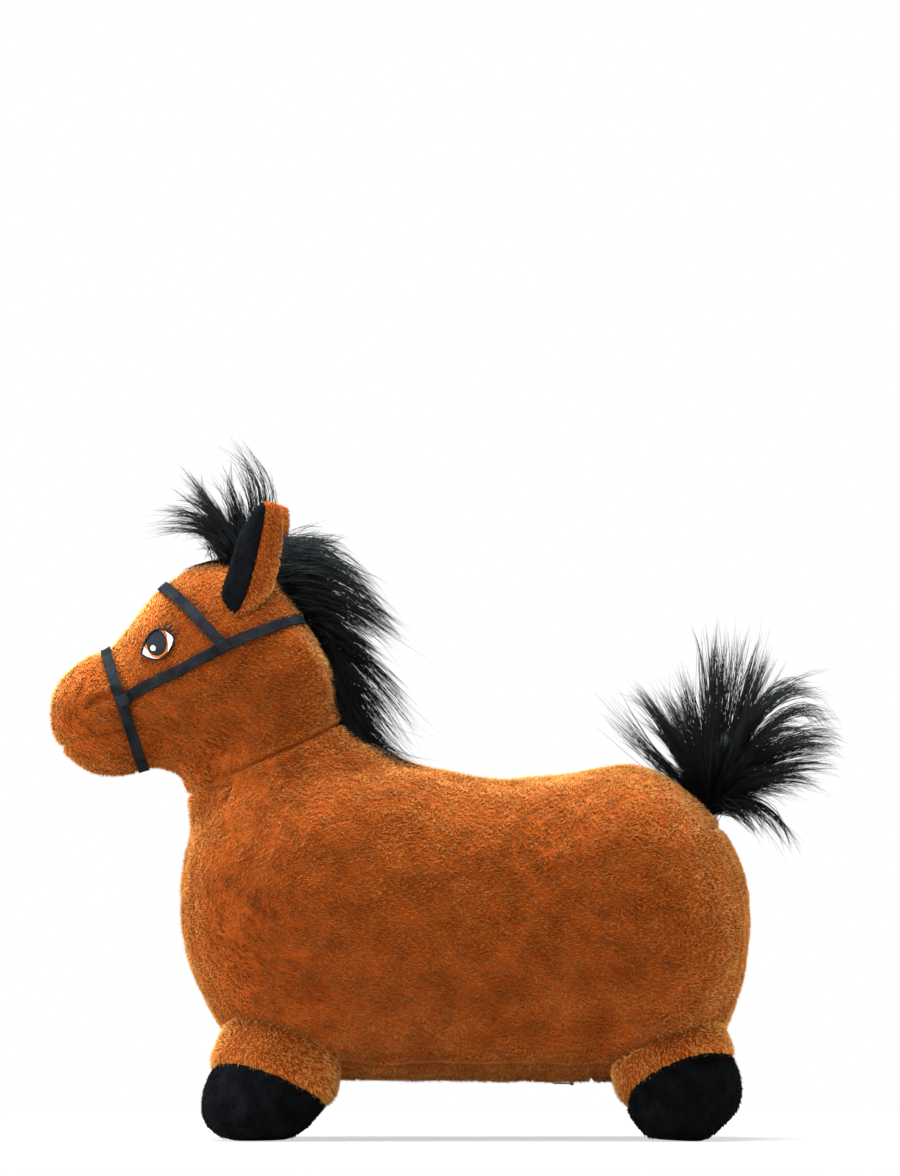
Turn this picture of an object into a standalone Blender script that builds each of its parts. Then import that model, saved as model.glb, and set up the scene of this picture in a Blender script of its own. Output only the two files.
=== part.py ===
"""A plush hopping horse: an air-filled bladder in a sewn cover, with bridle, mane, tail, zip and valve.

Metres, +Z up. The nose points to -X and the horse's left side to -Y. The origin is on the floor,
under the middle of the whole toy.
"""

import math

import bmesh
import bpy
import numpy as np
from mathutils import Matrix, Vector

# Body of the cover
BODY_LENGTH = 0.496
BODY_HEIGHT = 0.2766
BODY_WIDTH = 0.250
BELLY_HEIGHT = 0.0487
GUSSET_WIDTH = 0.118
COVER_THICKNESS = 0.006

# Neck and head
NECK_LENGTH = 0.2097
NECK_HEIGHT = 0.1697
NECK_WIDTH = 0.146
HEAD_LENGTH = 0.2449
HEAD_HEIGHT = 0.1984
HEAD_WIDTH = 0.136

# Legs and hooves
HOOF_LENGTH = 0.1027
HOOF_WIDTH = 0.095
HOOF_OFFSET = 0.058

# Air bladder and its valve
BLADDER_WALL = 0.0025
BLADDER_GAP = 0.0009
VALVE_DISH_RADIUS = 0.022
VALVE_DISH_DEPTH = 0.0145
VALVE_SEAT_RADIUS = 0.012
VALVE_SEAT_THICKNESS = 0.0016
VALVE_STEM_RADIUS = 0.003
VALVE_STEM_LENGTH = 0.0072
VALVE_HEAD_RADIUS = 0.0085
VALVE_HEAD_THICKNESS = 0.002
VALVE_FIT = 0.0004

# Zip in the belly
ZIP_LENGTH = 0.190
ZIP_TAPE_WIDTH = 0.0045
ZIP_TAPE_THICKNESS = 0.0008
ZIP_CHAIN_WIDTH = 0.004
ZIP_CHAIN_THICKNESS = 0.0016
ZIP_DEPTH = 0.0022
SLIDER_LENGTH = 0.011
SLIDER_WIDTH = 0.008
SLIDER_PLATE = 0.0011
SLIDER_BRIDGE = 0.002
PIN_RADIUS = 0.0006
PIN_FIT = 0.0004
EYE_RING = 0.0008
PULL_LENGTH = 0.016
PULL_WIDTH = 0.0044
PULL_THICKNESS = 0.0012
CHEEK_THICKNESS = 0.001

# Ears
EAR_HEIGHT = 0.104
EAR_WIDTH = 0.054
EAR_DEPTH = 0.034
EAR_SPACING = 0.090
EAR_LEAN = 0.012
EAR_CLEARANCE = 0.0005

# Hair
FORELOCK_REACH = 0.105
UPPER_MANE_REACH = 0.105
LOWER_MANE_REACH = 0.086
TAIL_REACH = 0.1027
FORELOCK_LOCK = 0.0120
UPPER_MANE_LOCK = 0.0130
LOWER_MANE_LOCK = 0.0120
TAIL_LOCK = 0.0190
MANE_STRIP_WIDTH = 0.020
MANE_STRIP_THICKNESS = 0.0012
TAIL_STUB_RADIUS = 0.010
TAIL_STUB_RISE = 0.0016
TAIL_CLEARANCE = 0.0007
TAIL_SWING = math.radians(22)

# Bridle
STRAP_WIDTH = 0.0112
STRAP_THICKNESS = 0.0013
TACK_SIDE = 0.0115
TACK_THICKNESS = 0.0009
STRAP_TO_HAIR = 0.0012

# Embroidered eyes
EYE_LENGTH = 0.0280
EYE_HEIGHT = 0.0255
EYE_THICKNESS = 0.0009
IRIS_HEIGHT = 0.0228
IRIS_RING = 0.0015
HIGHLIGHT_HEIGHT = 0.0052
OUTLINE_WIDTH = 0.0021
LASH_LENGTH = 0.0100
LASH_WIDTH = 0.0011

# Clearance between neighbouring pieces, and how far a cutter runs past what it cuts
SEAM_GAP = 0.0003
LAY_GAP = 0.0006
OVERRUN = 0.020

RING_SIDES = 24
LIMB_SIDES = 16
INSIDE_COARSER = 2
SHARP_ANGLE = math.radians(50)
BODY_SQUARENESS = 2.15

# x, top, bottom and width as shares of the body's length, height, height and width
BODY_SHARES = (
    (0.000, 0.55, 0.55, 0.00),
    (0.004, 0.66, 0.45, 0.20),
    (0.016, 0.77, 0.37, 0.40),
    (0.036, 0.87, 0.28, 0.58),
    (0.067, 0.95, 0.18, 0.73),
    (0.114, 1.00, 0.10, 0.85),
    (0.184, 1.04, 0.04, 0.94),
    (0.272, 1.045, 0.012, 0.985),
    (0.368, 1.02, 0.003, 0.98),
    (0.456, 0.985, 0.002, 0.96),
    (0.553, 0.957, 0.002, 0.955),
    (0.649, 0.968, 0.002, 0.97),
    (0.737, 0.992, 0.002, 0.99),
    (0.807, 0.998, 0.006, 1.00),
    (0.868, 0.952, 0.030, 0.96),
    (0.921, 0.868, 0.090, 0.86),
    (0.958, 0.780, 0.170, 0.70),
    (0.982, 0.690, 0.280, 0.50),
    (0.995, 0.610, 0.400, 0.27),
    (1.000, 0.510, 0.510, 0.00),
)

# Front x and z, back x and z, and width, as shares of the neck's length, height and width
NECK_START_SHARE = 0.005
NECK_SINK_SHARE = 0.67
NECK_SHARES = (
    (0.195, 0.000, 0.900, 0.333, 0.88),
    (0.033, 0.215, 1.000, 0.497, 1.00),
    (0.017, 0.349, 0.851, 0.605, 0.97),
    (0.000, 0.426, 0.705, 0.728, 0.93),
    (0.021, 0.538, 0.643, 0.862, 0.88),
    (0.091, 0.692, 0.585, 1.000, 0.74),
    (0.328, 0.923, 0.328, 0.923, 0.00),
)

# The same for the head, whose back is at a share of the neck's length
HEAD_BACK_SHARE = 0.614
HEAD_BASE_SHARE = 0.410
HEAD_SHARES = (
    (0.000, 0.325, 0.000, 0.325, 0.00),
    (0.005, 0.395, 0.009, 0.250, 0.27),
    (0.023, 0.456, 0.037, 0.175, 0.48),
    (0.066, 0.522, 0.091, 0.110, 0.64),
    (0.137, 0.588, 0.172, 0.061, 0.74),
    (0.204, 0.614, 0.268, 0.057, 0.77),
    (0.272, 0.706, 0.364, 0.092, 0.80),
    (0.350, 0.833, 0.464, 0.057, 0.87),
    (0.435, 0.925, 0.588, 0.009, 0.94),
    (0.552, 0.991, 0.730, 0.000, 0.99),
    (0.677, 1.000, 0.883, 0.066, 1.00),
    (0.790, 0.934, 0.979, 0.197, 0.96),
    (0.883, 0.811, 1.021, 0.342, 0.84),
    (0.950, 0.658, 1.021, 0.439, 0.56),
    (1.000, 0.553, 1.000, 0.553, 0.00),
)

# Front x and z, back x and z, width and sideways place of a leg, top to sole, as shares of the
# hoof's length, the belly's height, the hoof's width and the hoof's offset
FRONT_LEG_START_SHARE = 0.037
FRONT_LEG_SHARES = (
    (0.52, 3.16, 1.28, 2.27, 0.80, 0.69),
    (0.31, 2.45, 1.23, 1.55, 0.88, 0.74),
    (0.18, 1.91, 1.15, 1.02, 0.93, 0.81),
    (0.11, 1.46, 1.09, 0.70, 0.97, 0.88),
    (0.085, 1.25, 1.06, 0.59, 0.98, 0.91),
    (0.025, 0.96, 1.025, 0.48, 1.00, 0.95),
    (0.000, 0.66, 0.98, 0.375, 1.00, 0.98),
    (0.017, 0.357, 0.915, 0.214, 0.97, 1.00),
    (0.093, 0.143, 0.83, 0.089, 0.88, 1.00),
    (0.230, 0.000, 0.74, 0.000, 0.63, 1.00),
    (0.485, 0.000, 0.485, 0.000, 0.00, 1.00),
)
REAR_LEG_START_SHARE = 0.781
REAR_LEG_SHARES = (
    (-0.21, 2.48, 0.47, 3.55, 0.80, 0.69),
    (-0.18, 1.68, 0.69, 2.75, 0.88, 0.74),
    (-0.13, 1.20, 0.82, 2.04, 0.93, 0.81),
    (-0.04, 0.79, 0.88, 1.625, 0.97, 0.88),
    (0.010, 0.57, 0.915, 1.46, 0.98, 0.91),
    (0.010, 0.48, 0.966, 1.18, 1.00, 0.95),
    (0.034, 0.375, 0.983, 0.875, 1.00, 0.98),
    (0.085, 0.214, 0.95, 0.554, 0.97, 1.00),
    (0.153, 0.070, 0.84, 0.268, 0.88, 1.00),
    (0.254, 0.000, 0.68, 0.000, 0.63, 1.00),
    (0.467, 0.000, 0.467, 0.000, 0.00, 1.00),
)
SEAM_ROW = 4

# Height, front, back and depth of the ear's rings, as shares of its height, width and depth
EAR_PLACE_SHARES = (0.609, 0.750)
EAR_SHARES = (
    (-0.12, 0.26, 0.48, 0.40),
    (0.00, 0.20, 0.52, 0.72),
    (0.09, 0.06, 0.66, 0.92),
    (0.20, 0.00, 0.80, 1.00),
    (0.36, 0.08, 0.90, 0.96),
    (0.54, 0.18, 0.97, 0.82),
    (0.72, 0.29, 1.00, 0.64),
    (0.86, 0.47, 1.00, 0.46),
    (0.95, 0.61, 0.95, 0.28),
    (1.00, 0.76, 0.76, 0.00),
)
# Where the black lining starts at the ear's foot and ends at its tip, as shares of width and height
LINING_FOOT_SHARES = (0.23, 0.02)
LINING_TIP_SHARES = (0.68, 1.00)
LINING_DEPTH_SHARE = 0.80
LINING_TURN = math.radians(38)
EAR_FOLD_SHARES = (0.52, -0.04)

# Bridle centre lines, as shares of the head's length and height
NOSEBAND_SHARES = ((0.17, 0.735), (0.202, 0.610), (0.330, 0.105), (0.36, -0.02))
HEADSTRAP_SHARES = (
    (0.25, 0.382),
    (0.300, 0.417),
    (0.357, 0.456),
    (0.456, 0.513),
    (0.556, 0.579),
    (0.655, 0.640),
    (0.755, 0.689),
    (0.854, 0.732),
    (0.925, 0.746),
    (1.080, 0.746),
)
BROWBAND_SHARES = (
    (0.343, 0.945),
    (0.400, 0.890),
    (0.456, 0.836),
    (0.506, 0.779),
    (0.556, 0.713),
    (0.625, 0.625),
)
NECK_SEAM_SHARES = ((0.535, 0.000), (1.050, 0.298))
FRONT_SPLIT_SHARE = 0.26
REAR_SPLIT_SHARE = 0.72
RUMP_TOP_SHARE = 0.80
CHEST_TOP_SHARE = 0.93
BELLY_TOP_SHARE = 0.40
BELLY_SHARE = 0.002
STRIP_START_SHARE = 0.77
ZIP_START_SHARE = 0.31
VALVE_SHARE = 0.40
CHEEK_TACK_SHARES = (0.270, 0.388)
BROW_TACK_SHARES = (0.623, 0.622)
MOUTH_SHARES = ((0.00, 0.175), (0.30, 0.272))

# Eye outlines round the eye's middle, as shares of its length and height
EYE_PLACE_SHARES = (0.393, 0.632)
EYE_SHARES = (
    (-0.50, -0.16),
    (-0.42, 0.16),
    (-0.22, 0.42),
    (0.05, 0.50),
    (0.30, 0.40),
    (0.50, 0.16),
    (0.44, -0.14),
    (0.26, -0.38),
    (0.02, -0.50),
    (-0.24, -0.44),
)
IRIS_WIDTH_SHARE = 0.80
IRIS_SHIFT_SHARES = (-0.04, 0.05)
HIGHLIGHT_SHIFT_SHARES = (-0.13, -0.11)
# The outline's edge that each lash grows from, how far along it, and the lash's lean to the back
LASH_SHARES = ((3, 0.60), (4, 0.30), (4, 0.80))
LASH_TURNS = (math.radians(26), math.radians(38), math.radians(52))

# Hair roots and tips: how far along the root line the lock starts, then its tip's x, z and y from
# the clump's foot, as shares of the clump's reach
FORELOCK_ROOT_SHARES = ((0.577, 0.990), (0.712, 0.985))
FORELOCK_SHARES = (
    (0.40, 0.12, 0.97, 0.02),
    (0.30, -0.06, 0.76, 0.12),
    (0.20, -0.32, 0.86, -0.04),
    (0.15, -0.22, 0.66, 0.10),
    (0.10, -0.36, 0.52, -0.08),
    (0.00, -0.48, 0.30, 0.06),
    (0.00, -0.46, 0.20, -0.08),
    (0.60, 0.23, 0.76, -0.06),
    (0.80, 0.38, 0.62, 0.05),
    (0.30, -0.08, 0.52, 0.24),
    (0.30, -0.06, 0.54, -0.24),
)
FORELOCK_CORE_SHARES = ((0.14, 0.18, 0.25, 0.27, 0.20),)
UPPER_MANE_ROOT_SHARES = ((0.770, 0.955), (0.975, 0.770))
UPPER_MANE_SHARES = (
    (0.00, 0.14, 0.34, 0.00),
    (0.10, 0.30, 0.28, 0.10),
    (0.20, 0.60, 0.17, -0.06),
    (0.30, 0.65, 0.05, 0.12),
    (0.45, 0.87, -0.12, -0.04),
    (0.60, 0.99, -0.24, 0.08),
    (0.75, 1.13, -0.51, -0.02),
    (0.90, 0.96, -0.44, 0.12),
    (0.90, 0.90, -0.40, -0.14),
    (0.50, 0.74, -0.14, 0.22),
    (0.50, 0.72, -0.16, -0.22),
    (0.10, 0.40, 0.16, -0.20),
)
UPPER_MANE_CORE_SHARES = ((0.24, 0.00, 0.27, 0.25, 0.22), (0.50, -0.18, 0.32, 0.22, 0.20))
LOWER_MANE_ROOT_SHARES = (
    (0.985, 0.700),
    (1.005, 0.548),
    (1.030, 0.395),
    (1.075, 0.298),
    (1.190, 0.175),
    (1.290, 0.100),
)
LOWER_MANE_SHARES = (
    (0.02, 0.58, -0.17, 0.00),
    (0.08, 0.85, -0.36, 0.08),
    (0.15, 0.78, -0.44, -0.12),
    (0.25, 0.82, -0.67, 0.04),
    (0.35, 0.70, -0.85, -0.14),
    (0.35, 0.72, -0.82, 0.16),
    (0.50, 0.93, -1.06, 0.02),
    (0.60, 0.85, -1.18, -0.08),
    (0.85, 1.01, -1.56, 0.00),
    (0.75, 0.93, -1.40, 0.08),
)
LOWER_MANE_CORE_SHARES = ((0.34, -0.38, 0.30, 0.34, 0.19), (0.50, -0.86, 0.24, 0.34, 0.16))
TAIL_PLACE_SHARES = (0.926, 0.880)
TAIL_SHARES = (
    (0.00, -0.81, 0.78, 0.00),
    (0.00, -0.66, 1.02, 0.14),
    (0.00, -0.42, 1.11, -0.22),
    (0.00, -0.20, 1.20, 0.18),
    (0.00, 0.04, 1.45, 0.00),
    (0.00, 0.22, 1.52, -0.14),
    (0.00, 0.44, 1.53, 0.12),
    (0.00, 0.52, 1.29, -0.26),
    (0.00, 0.74, 1.02, 0.26),
    (0.00, 0.97, 0.92, -0.10),
    (0.00, 1.00, 0.54, 0.04),
    (0.00, 0.98, 0.24, -0.16),
    (0.00, 0.92, 0.10, 0.14),
    (0.00, 0.70, -0.38, 0.02),
    (0.00, 0.50, -0.28, -0.12),
    (0.00, -0.24, 0.90, 0.54),
    (0.00, -0.20, 0.86, -0.54),
    (0.00, 0.30, 1.00, 0.60),
    (0.00, 0.34, 1.02, -0.60),
    (0.00, 0.66, 0.46, 0.56),
    (0.00, 0.64, 0.48, -0.56),
)
TAIL_CORE_SHARES = ((0.14, 0.52, 0.50, 0.50, 0.44), (0.06, 0.16, 0.20, 0.26, 0.18))
TAIL_ROOT_SHARES = (0.06, 0.42)
TAIL_NECK_SHARE = 0.8
LOCK_RING_SHARES = ((0.0, 0.60), (0.45, 1.0), (0.76, 0.50))
LOCK_SIDES = 4
LOCK_SAG_SHARE = 0.10

# The nose and the tail's farthest lock lie at equal distances from the origin
NOSE_OFFSET = NECK_START_SHARE * BODY_LENGTH + HEAD_BACK_SHARE * NECK_LENGTH - HEAD_LENGTH
TAIL_OFFSET = TAIL_PLACE_SHARES[0] * BODY_LENGTH + TAIL_REACH
HEIGHT = BELLY_HEIGHT + BODY_HEIGHT + NECK_HEIGHT + HEAD_HEIGHT + EAR_HEIGHT
BODY_FRONT = -(NOSE_OFFSET + TAIL_OFFSET) / 2

TOOLS = []


def body_x(share):
    return BODY_FRONT + share * BODY_LENGTH


def body_z(share):
    return BELLY_HEIGHT + share * BODY_HEIGHT


def neck_x(share):
    return body_x(NECK_START_SHARE) + share * NECK_LENGTH


def neck_z(share):
    return body_z(NECK_SINK_SHARE) + share * NECK_HEIGHT


def head_x(share):
    return neck_x(HEAD_BACK_SHARE) + (share - 1) * HEAD_LENGTH


def head_z(share):
    return neck_z(HEAD_BASE_SHARE) + share * HEAD_HEIGHT


def head_points(shares):
    """Side-view points, as (x, z), of places given as shares of the head."""
    return [Vector((head_x(x), head_z(z))) for x, z in shares]


def clear_scene():
    for obj in list(bpy.data.objects):
        bpy.data.objects.remove(obj)


def material(name, red, green, blue, roughness, metallic=0.0):
    made = bpy.data.materials.new(name)
    made.use_nodes = True
    shader = made.node_tree.nodes["Principled BSDF"]
    shader.inputs["Base Color"].default_value = (red, green, blue, 1)
    shader.inputs["Roughness"].default_value = roughness
    shader.inputs["Metallic"].default_value = metallic
    made.diffuse_color = (red, green, blue, 1)
    return made


def add_object(name, shape):
    """A named object from a bmesh, its faces turned outwards."""
    bmesh.ops.recalc_face_normals(shape, faces=shape.faces)
    mesh = bpy.data.meshes.new(name)
    shape.to_mesh(mesh)
    shape.free()
    obj = bpy.data.objects.new(name, mesh)
    bpy.context.scene.collection.objects.link(obj)
    return obj


def as_tool(obj):
    """Marks a cutter, which isn't part of the toy, and is removed at the end."""
    obj.hide_render = True
    obj.display_type = "WIRE"
    TOOLS.append(obj)
    return obj


def copied(obj, name):
    made = bpy.data.objects.new(name, obj.data.copy())
    bpy.context.scene.collection.objects.link(made)
    return made


def baked(obj):
    """Replaces an object's modifiers with the mesh that they give."""
    bpy.context.view_layer.update()
    graph = bpy.context.evaluated_depsgraph_get()
    mesh = bpy.data.meshes.new_from_object(obj.evaluated_get(graph), depsgraph=graph)
    obj.modifiers.clear()
    obj.data = mesh
    return obj


def combined(obj, operation, *tools, itself=False):
    """Cuts, keeps or joins the tools' shapes, one after the other."""
    for tool in tools:
        modifier = obj.modifiers.new(tool.name, "BOOLEAN")
        modifier.operation = operation
        modifier.object = tool
        modifier.use_self = itself
    return baked(obj)


def cut(obj, *tools):
    return combined(obj, "DIFFERENCE", *tools)


def kept(obj, *tools):
    return combined(obj, "INTERSECT", *tools)


def joined(obj, *tools):
    return combined(obj, "UNION", *tools)


def largest(obj):
    """Drops the splinters that a cut leaves where two curved surfaces graze."""
    shape = bmesh.new()
    shape.from_mesh(obj.data)
    shape.verts.ensure_lookup_table()
    left = set(shape.verts)
    islands = []
    while left:
        island, edge = set(), [left.pop()]
        while edge:
            vertex = edge.pop()
            island.add(vertex)
            near = {link.other_vert(vertex) for link in vertex.link_edges}
            edge += near & left
            left -= near
        islands.append(island)
    main_island = max(islands, key=len)
    splinters = [vertex for vertex in shape.verts if vertex not in main_island]
    bmesh.ops.delete(shape, geom=splinters, context="VERTS")
    shape.to_mesh(obj.data)
    shape.free()
    return obj


def mirrored(obj, name):
    """A copy on the other side of the toy's middle plane."""
    shape = bmesh.new()
    shape.from_mesh(obj.data)
    for vertex in shape.verts:
        vertex.co.y = -vertex.co.y
    bmesh.ops.reverse_faces(shape, faces=shape.faces)
    mesh = bpy.data.meshes.new(name)
    shape.to_mesh(mesh)
    shape.free()
    made = bpy.data.objects.new(name, mesh)
    bpy.context.scene.collection.objects.link(made)
    return made


def box(name, low, high):
    shape = bmesh.new()
    bmesh.ops.create_cube(shape, size=1)
    for vertex in shape.verts:
        for axis in range(3):
            vertex.co[axis] = low[axis] if vertex.co[axis] < 0 else high[axis]
    return add_object(name, shape)


def rod(name, start, end, radius, sides=LIMB_SIDES):
    """A round bar from one point to another."""
    start, end = Vector(start), Vector(end)
    turn = (end - start).to_track_quat("Z", "Y").to_matrix().to_4x4()
    place = Matrix.Translation((start + end) / 2) @ turn
    shape = bmesh.new()
    bmesh.ops.create_cone(
        shape,
        cap_ends=True,
        segments=sides,
        radius1=radius,
        radius2=radius,
        depth=(end - start).length,
        matrix=place,
    )
    return add_object(name, shape)


def ball(name, centre, radii, rings=8, sides=14):
    shape = bmesh.new()
    bmesh.ops.create_uvsphere(shape, u_segments=sides, v_segments=rings, radius=1)
    for vertex in shape.verts:
        vertex.co = Vector(centre) + Vector(a * b for a, b in zip(vertex.co, radii))
    return add_object(name, shape)


def prism(name, outline, near, far):
    """A side-view outline of (x, z) points, carried sideways from one y to the other."""
    shape = bmesh.new()
    face = shape.faces.new([shape.verts.new((x, near, z)) for x, z in outline])
    moved = bmesh.ops.extrude_face_region(shape, geom=[face])["geom"]
    vertices = [item for item in moved if isinstance(item, bmesh.types.BMVert)]
    bmesh.ops.translate(shape, verts=vertices, vec=(0, far - near, 0))
    return add_object(name, shape)


def ring_grid(rows, sides, squareness):
    """Points of flat oval rings: each row holds front x and z, back x and z, half width and y."""
    turn = np.arange(sides) * (2 * math.pi / sides)
    power = 2 / squareness
    along = np.sign(np.cos(turn)) * np.abs(np.cos(turn)) ** power
    across = np.sign(np.sin(turn)) * np.abs(np.sin(turn)) ** power
    rows = np.array(rows)[:, :, None]
    middle_x, half_x = (rows[:, 0] + rows[:, 2]) / 2, (rows[:, 0] - rows[:, 2]) / 2
    middle_z, half_z = (rows[:, 1] + rows[:, 3]) / 2, (rows[:, 1] - rows[:, 3]) / 2
    x = middle_x + half_x * along
    z = middle_z + half_z * along
    y = rows[:, 5] + rows[:, 4] * across
    return np.stack([x, y, z], axis=2)


def outward(grid):
    """Unit normals of a ring grid; a ring drawn together to a pole looks along the axis."""
    along = np.gradient(grid, axis=0)
    across = np.roll(grid, -1, axis=1) - np.roll(grid, 1, axis=1)
    normals = np.cross(along, across)
    middles = grid.mean(axis=1, keepdims=True)
    if np.sum(normals * (grid - middles)) < 0:
        normals = -normals
    for end, beside in ((0, 1), (-1, -2)):
        if np.ptp(grid[end], axis=0).max() == 0:
            lengths = np.linalg.norm(normals[beside], axis=1, keepdims=True)
            normals[end] = (normals[beside] / lengths).mean(axis=0)
    return normals / np.linalg.norm(normals, axis=2, keepdims=True)


def loft(name, rows, sides, offset=0.0, squareness=2.0):
    """A closed surface through the rings, moved out by the offset, its two halves mirror images."""
    grid = ring_grid(rows, sides, squareness)
    grid = grid + offset * outward(grid)
    shape = bmesh.new()
    rings = []
    for row in grid:
        if np.ptp(row, axis=0).max() == 0:
            rings.append([shape.verts.new(row[0])] * sides)
        else:
            rings.append([shape.verts.new(point) for point in row])
    for ring in (rings[0], rings[-1]):
        if ring[0] is not ring[1]:
            middle = sum((vertex.co for vertex in ring), Vector()) / sides
            centre = shape.verts.new(middle)
            for side in range(sides):
                shape.faces.new((ring[side - 1], ring[side], centre))
    for ring, after in zip(rings, rings[1:]):
        for side in range(sides):
            corners = [ring[side - 1], ring[side], after[side], after[side - 1]]
            if not 1 <= side <= sides // 2:
                corners = corners[1:] + corners[:1]
            for triangle in (corners[:3], [*corners[2:], corners[0]]):
                if len(set(triangle)) == 3:
                    shape.faces.new(triangle)
    return add_object(name, shape)


def body_loft(offset, sides=RING_SIDES):
    rows = [
        (body_x(x), body_z(top), body_x(x), body_z(bottom), width * BODY_WIDTH / 2, 0)
        for x, top, bottom, width in BODY_SHARES
    ]
    return loft("body", rows, sides, offset, BODY_SQUARENESS)


def neck_loft(offset, sides=LIMB_SIDES):
    rows = [
        (neck_x(a), neck_z(b), neck_x(c), neck_z(d), width * NECK_WIDTH / 2, 0)
        for a, b, c, d, width in NECK_SHARES
    ]
    return loft("neck", rows, sides, offset)


def head_loft(offset, sides=LIMB_SIDES):
    rows = [
        (head_x(a), head_z(b), head_x(c), head_z(d), width * HEAD_WIDTH / 2, 0)
        for a, b, c, d, width in HEAD_SHARES
    ]
    return loft("head", rows, sides, offset)


def skin(offset, coarser=1):
    """Body, neck and head as one solid, its surface moved out by the offset."""
    whole = body_loft(offset, RING_SIDES // coarser)
    sides = LIMB_SIDES // coarser
    parts = [neck_loft(offset, sides), head_loft(offset, sides)]
    joined(whole, *parts)
    for part in parts:
        bpy.data.objects.remove(part)
    return as_tool(whole)


def leg_rows(table, start):
    """World rows of a left leg; its ground contact is the last ring."""
    return [
        (
            body_x(start) + a * HOOF_LENGTH,
            b * BELLY_HEIGHT,
            body_x(start) + c * HOOF_LENGTH,
            d * BELLY_HEIGHT,
            width * HOOF_WIDTH / 2,
            -aside * HOOF_OFFSET,
        )
        for a, b, c, d, width, aside in table
    ]


def beyond(name, start, end, reach, width):
    """A thick slab on the left of a side-view line, seen along the line from its start."""
    start, end = Vector(start), Vector(end)
    way = (end - start).normalized()
    side = Vector((-way.y, way.x))
    start, end = start - way * reach, end + way * reach
    outline = (start, end, end + side * reach, start + side * reach)
    return as_tool(prism(name, outline, -width, width))


def shifted(points, distance):
    """The two points of a line, moved to the line's left by the distance."""
    start, end = Vector(points[0]), Vector(points[-1])
    way = (end - start).normalized()
    side = Vector((-way.y, way.x)) * distance
    return start + side, end + side


def ribbon(points, width):
    """The outline of a band of even width along a side-view line."""
    left, right = [], []
    for index, point in enumerate(points):
        before = points[max(index - 1, 0)]
        after = points[min(index + 1, len(points) - 1)]
        way = (after - before).normalized()
        side = Vector((-way.y, way.x)) * width / 2
        left.append(point + side)
        right.append(point - side)
    return left + right[::-1]


def finish(obj, name, look, origin=None):
    """Names and colours a finished piece, shades it smooth and sets its origin."""
    obj.name = name
    obj.data.name = name
    obj.data.materials.clear()
    obj.data.materials.append(look)
    obj.data.shade_smooth()
    obj.data.set_sharp_from_angle(angle=SHARP_ANGLE)
    if origin is not None:
        obj.data.transform(Matrix.Translation(-Vector(origin)))
        obj.location = origin
    return obj


def gusset_box(name, start, end, top, grown=0.0):
    """The space of a middle panel between two places along the body, below a height."""
    half = GUSSET_WIDTH / 2 + grown
    low = (body_x(start) - grown, -half, -OVERRUN)
    high = (body_x(end) + grown, half, body_z(top) + grown)
    return as_tool(box(name, low, high))


def body_cover(plush, shared):
    """Two side panels meeting on the back, and chest, belly and rump panels between them."""
    chest_end, rump_start, overshoot = FRONT_SPLIT_SHARE, REAR_SPLIT_SHARE, OVERRUN / BODY_LENGTH
    spaces = {
        "chest_panel": (-overshoot, chest_end, CHEST_TOP_SHARE),
        "belly_panel": (chest_end, rump_start, BELLY_TOP_SHARE),
        "rump_panel": (rump_start, 1 + overshoot, RUMP_TOP_SHARE),
    }
    dimple = as_tool(tail_ball("dimple", TAIL_STUB_RADIUS + TAIL_CLEARANCE))
    insides = [shared["hollow"], *shared["leg_hollows"], dimple, shared["zip_slot"]]
    for name, (start, end, top) in spaces.items():
        panel = copied(shared["skin"], name)
        space = gusset_box(name + "_space", start, end, top, grown=-SEAM_GAP / 2)
        kept(panel, space)
        cut(panel, shared["above_neck_seam"], *insides)
        finish(largest(panel), name, plush)
    side = kept(copied(shared["skin"], "side_panel_left"), shared["left_half"])
    cut(side, shared["above_neck_seam"], *insides)
    for name, (start, end, top) in spaces.items():
        cut(side, gusset_box(name + "_edge", start, end, top, grown=SEAM_GAP / 2))
    largest(side)
    right = mirrored(side, "side_panel_right")
    finish(side, "side_panel_left", plush)
    finish(right, "side_panel_right", plush)


def head_cover(plush, fibre, shared):
    """Neck and head halves, the muzzle above and below the mouth seam, and its stuffing."""
    head = copied(shared["skin"], "head_left")
    kept(head, shared["neck_seam_up"])
    cut(head, shared["hollow"], shared["muzzle_space_wide"])
    kept(head, shared["left_half"])
    right = mirrored(head, "head_right")
    finish(head, "head_left", plush)
    finish(right, "head_right", plush)

    mouth = head_points(MOUTH_SHARES)
    reach = HEAD_LENGTH
    above = beyond("above_mouth", *shifted(mouth, SEAM_GAP / 2), reach, HEAD_WIDTH)
    not_below = beyond("not_chin", *shifted(mouth, -SEAM_GAP / 2), reach, HEAD_WIDTH)
    muzzle_hollow = as_tool(head_loft(-COVER_THICKNESS, LIMB_SIDES // INSIDE_COARSER))
    upper = kept(head_loft(0), above, shared["muzzle_space"])
    cut(upper, muzzle_hollow)
    chin = cut(head_loft(0), not_below)
    kept(chin, shared["muzzle_space"])
    cut(chin, muzzle_hollow)
    finish(upper, "muzzle_upper", plush)
    finish(chin, "muzzle_chin", plush)

    stuffing = head_loft(-COVER_THICKNESS - BLADDER_GAP, LIMB_SIDES // INSIDE_COARSER)
    kept(stuffing, shared["muzzle_space"])
    finish(stuffing, "muzzle_stuffing", fibre)


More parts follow.
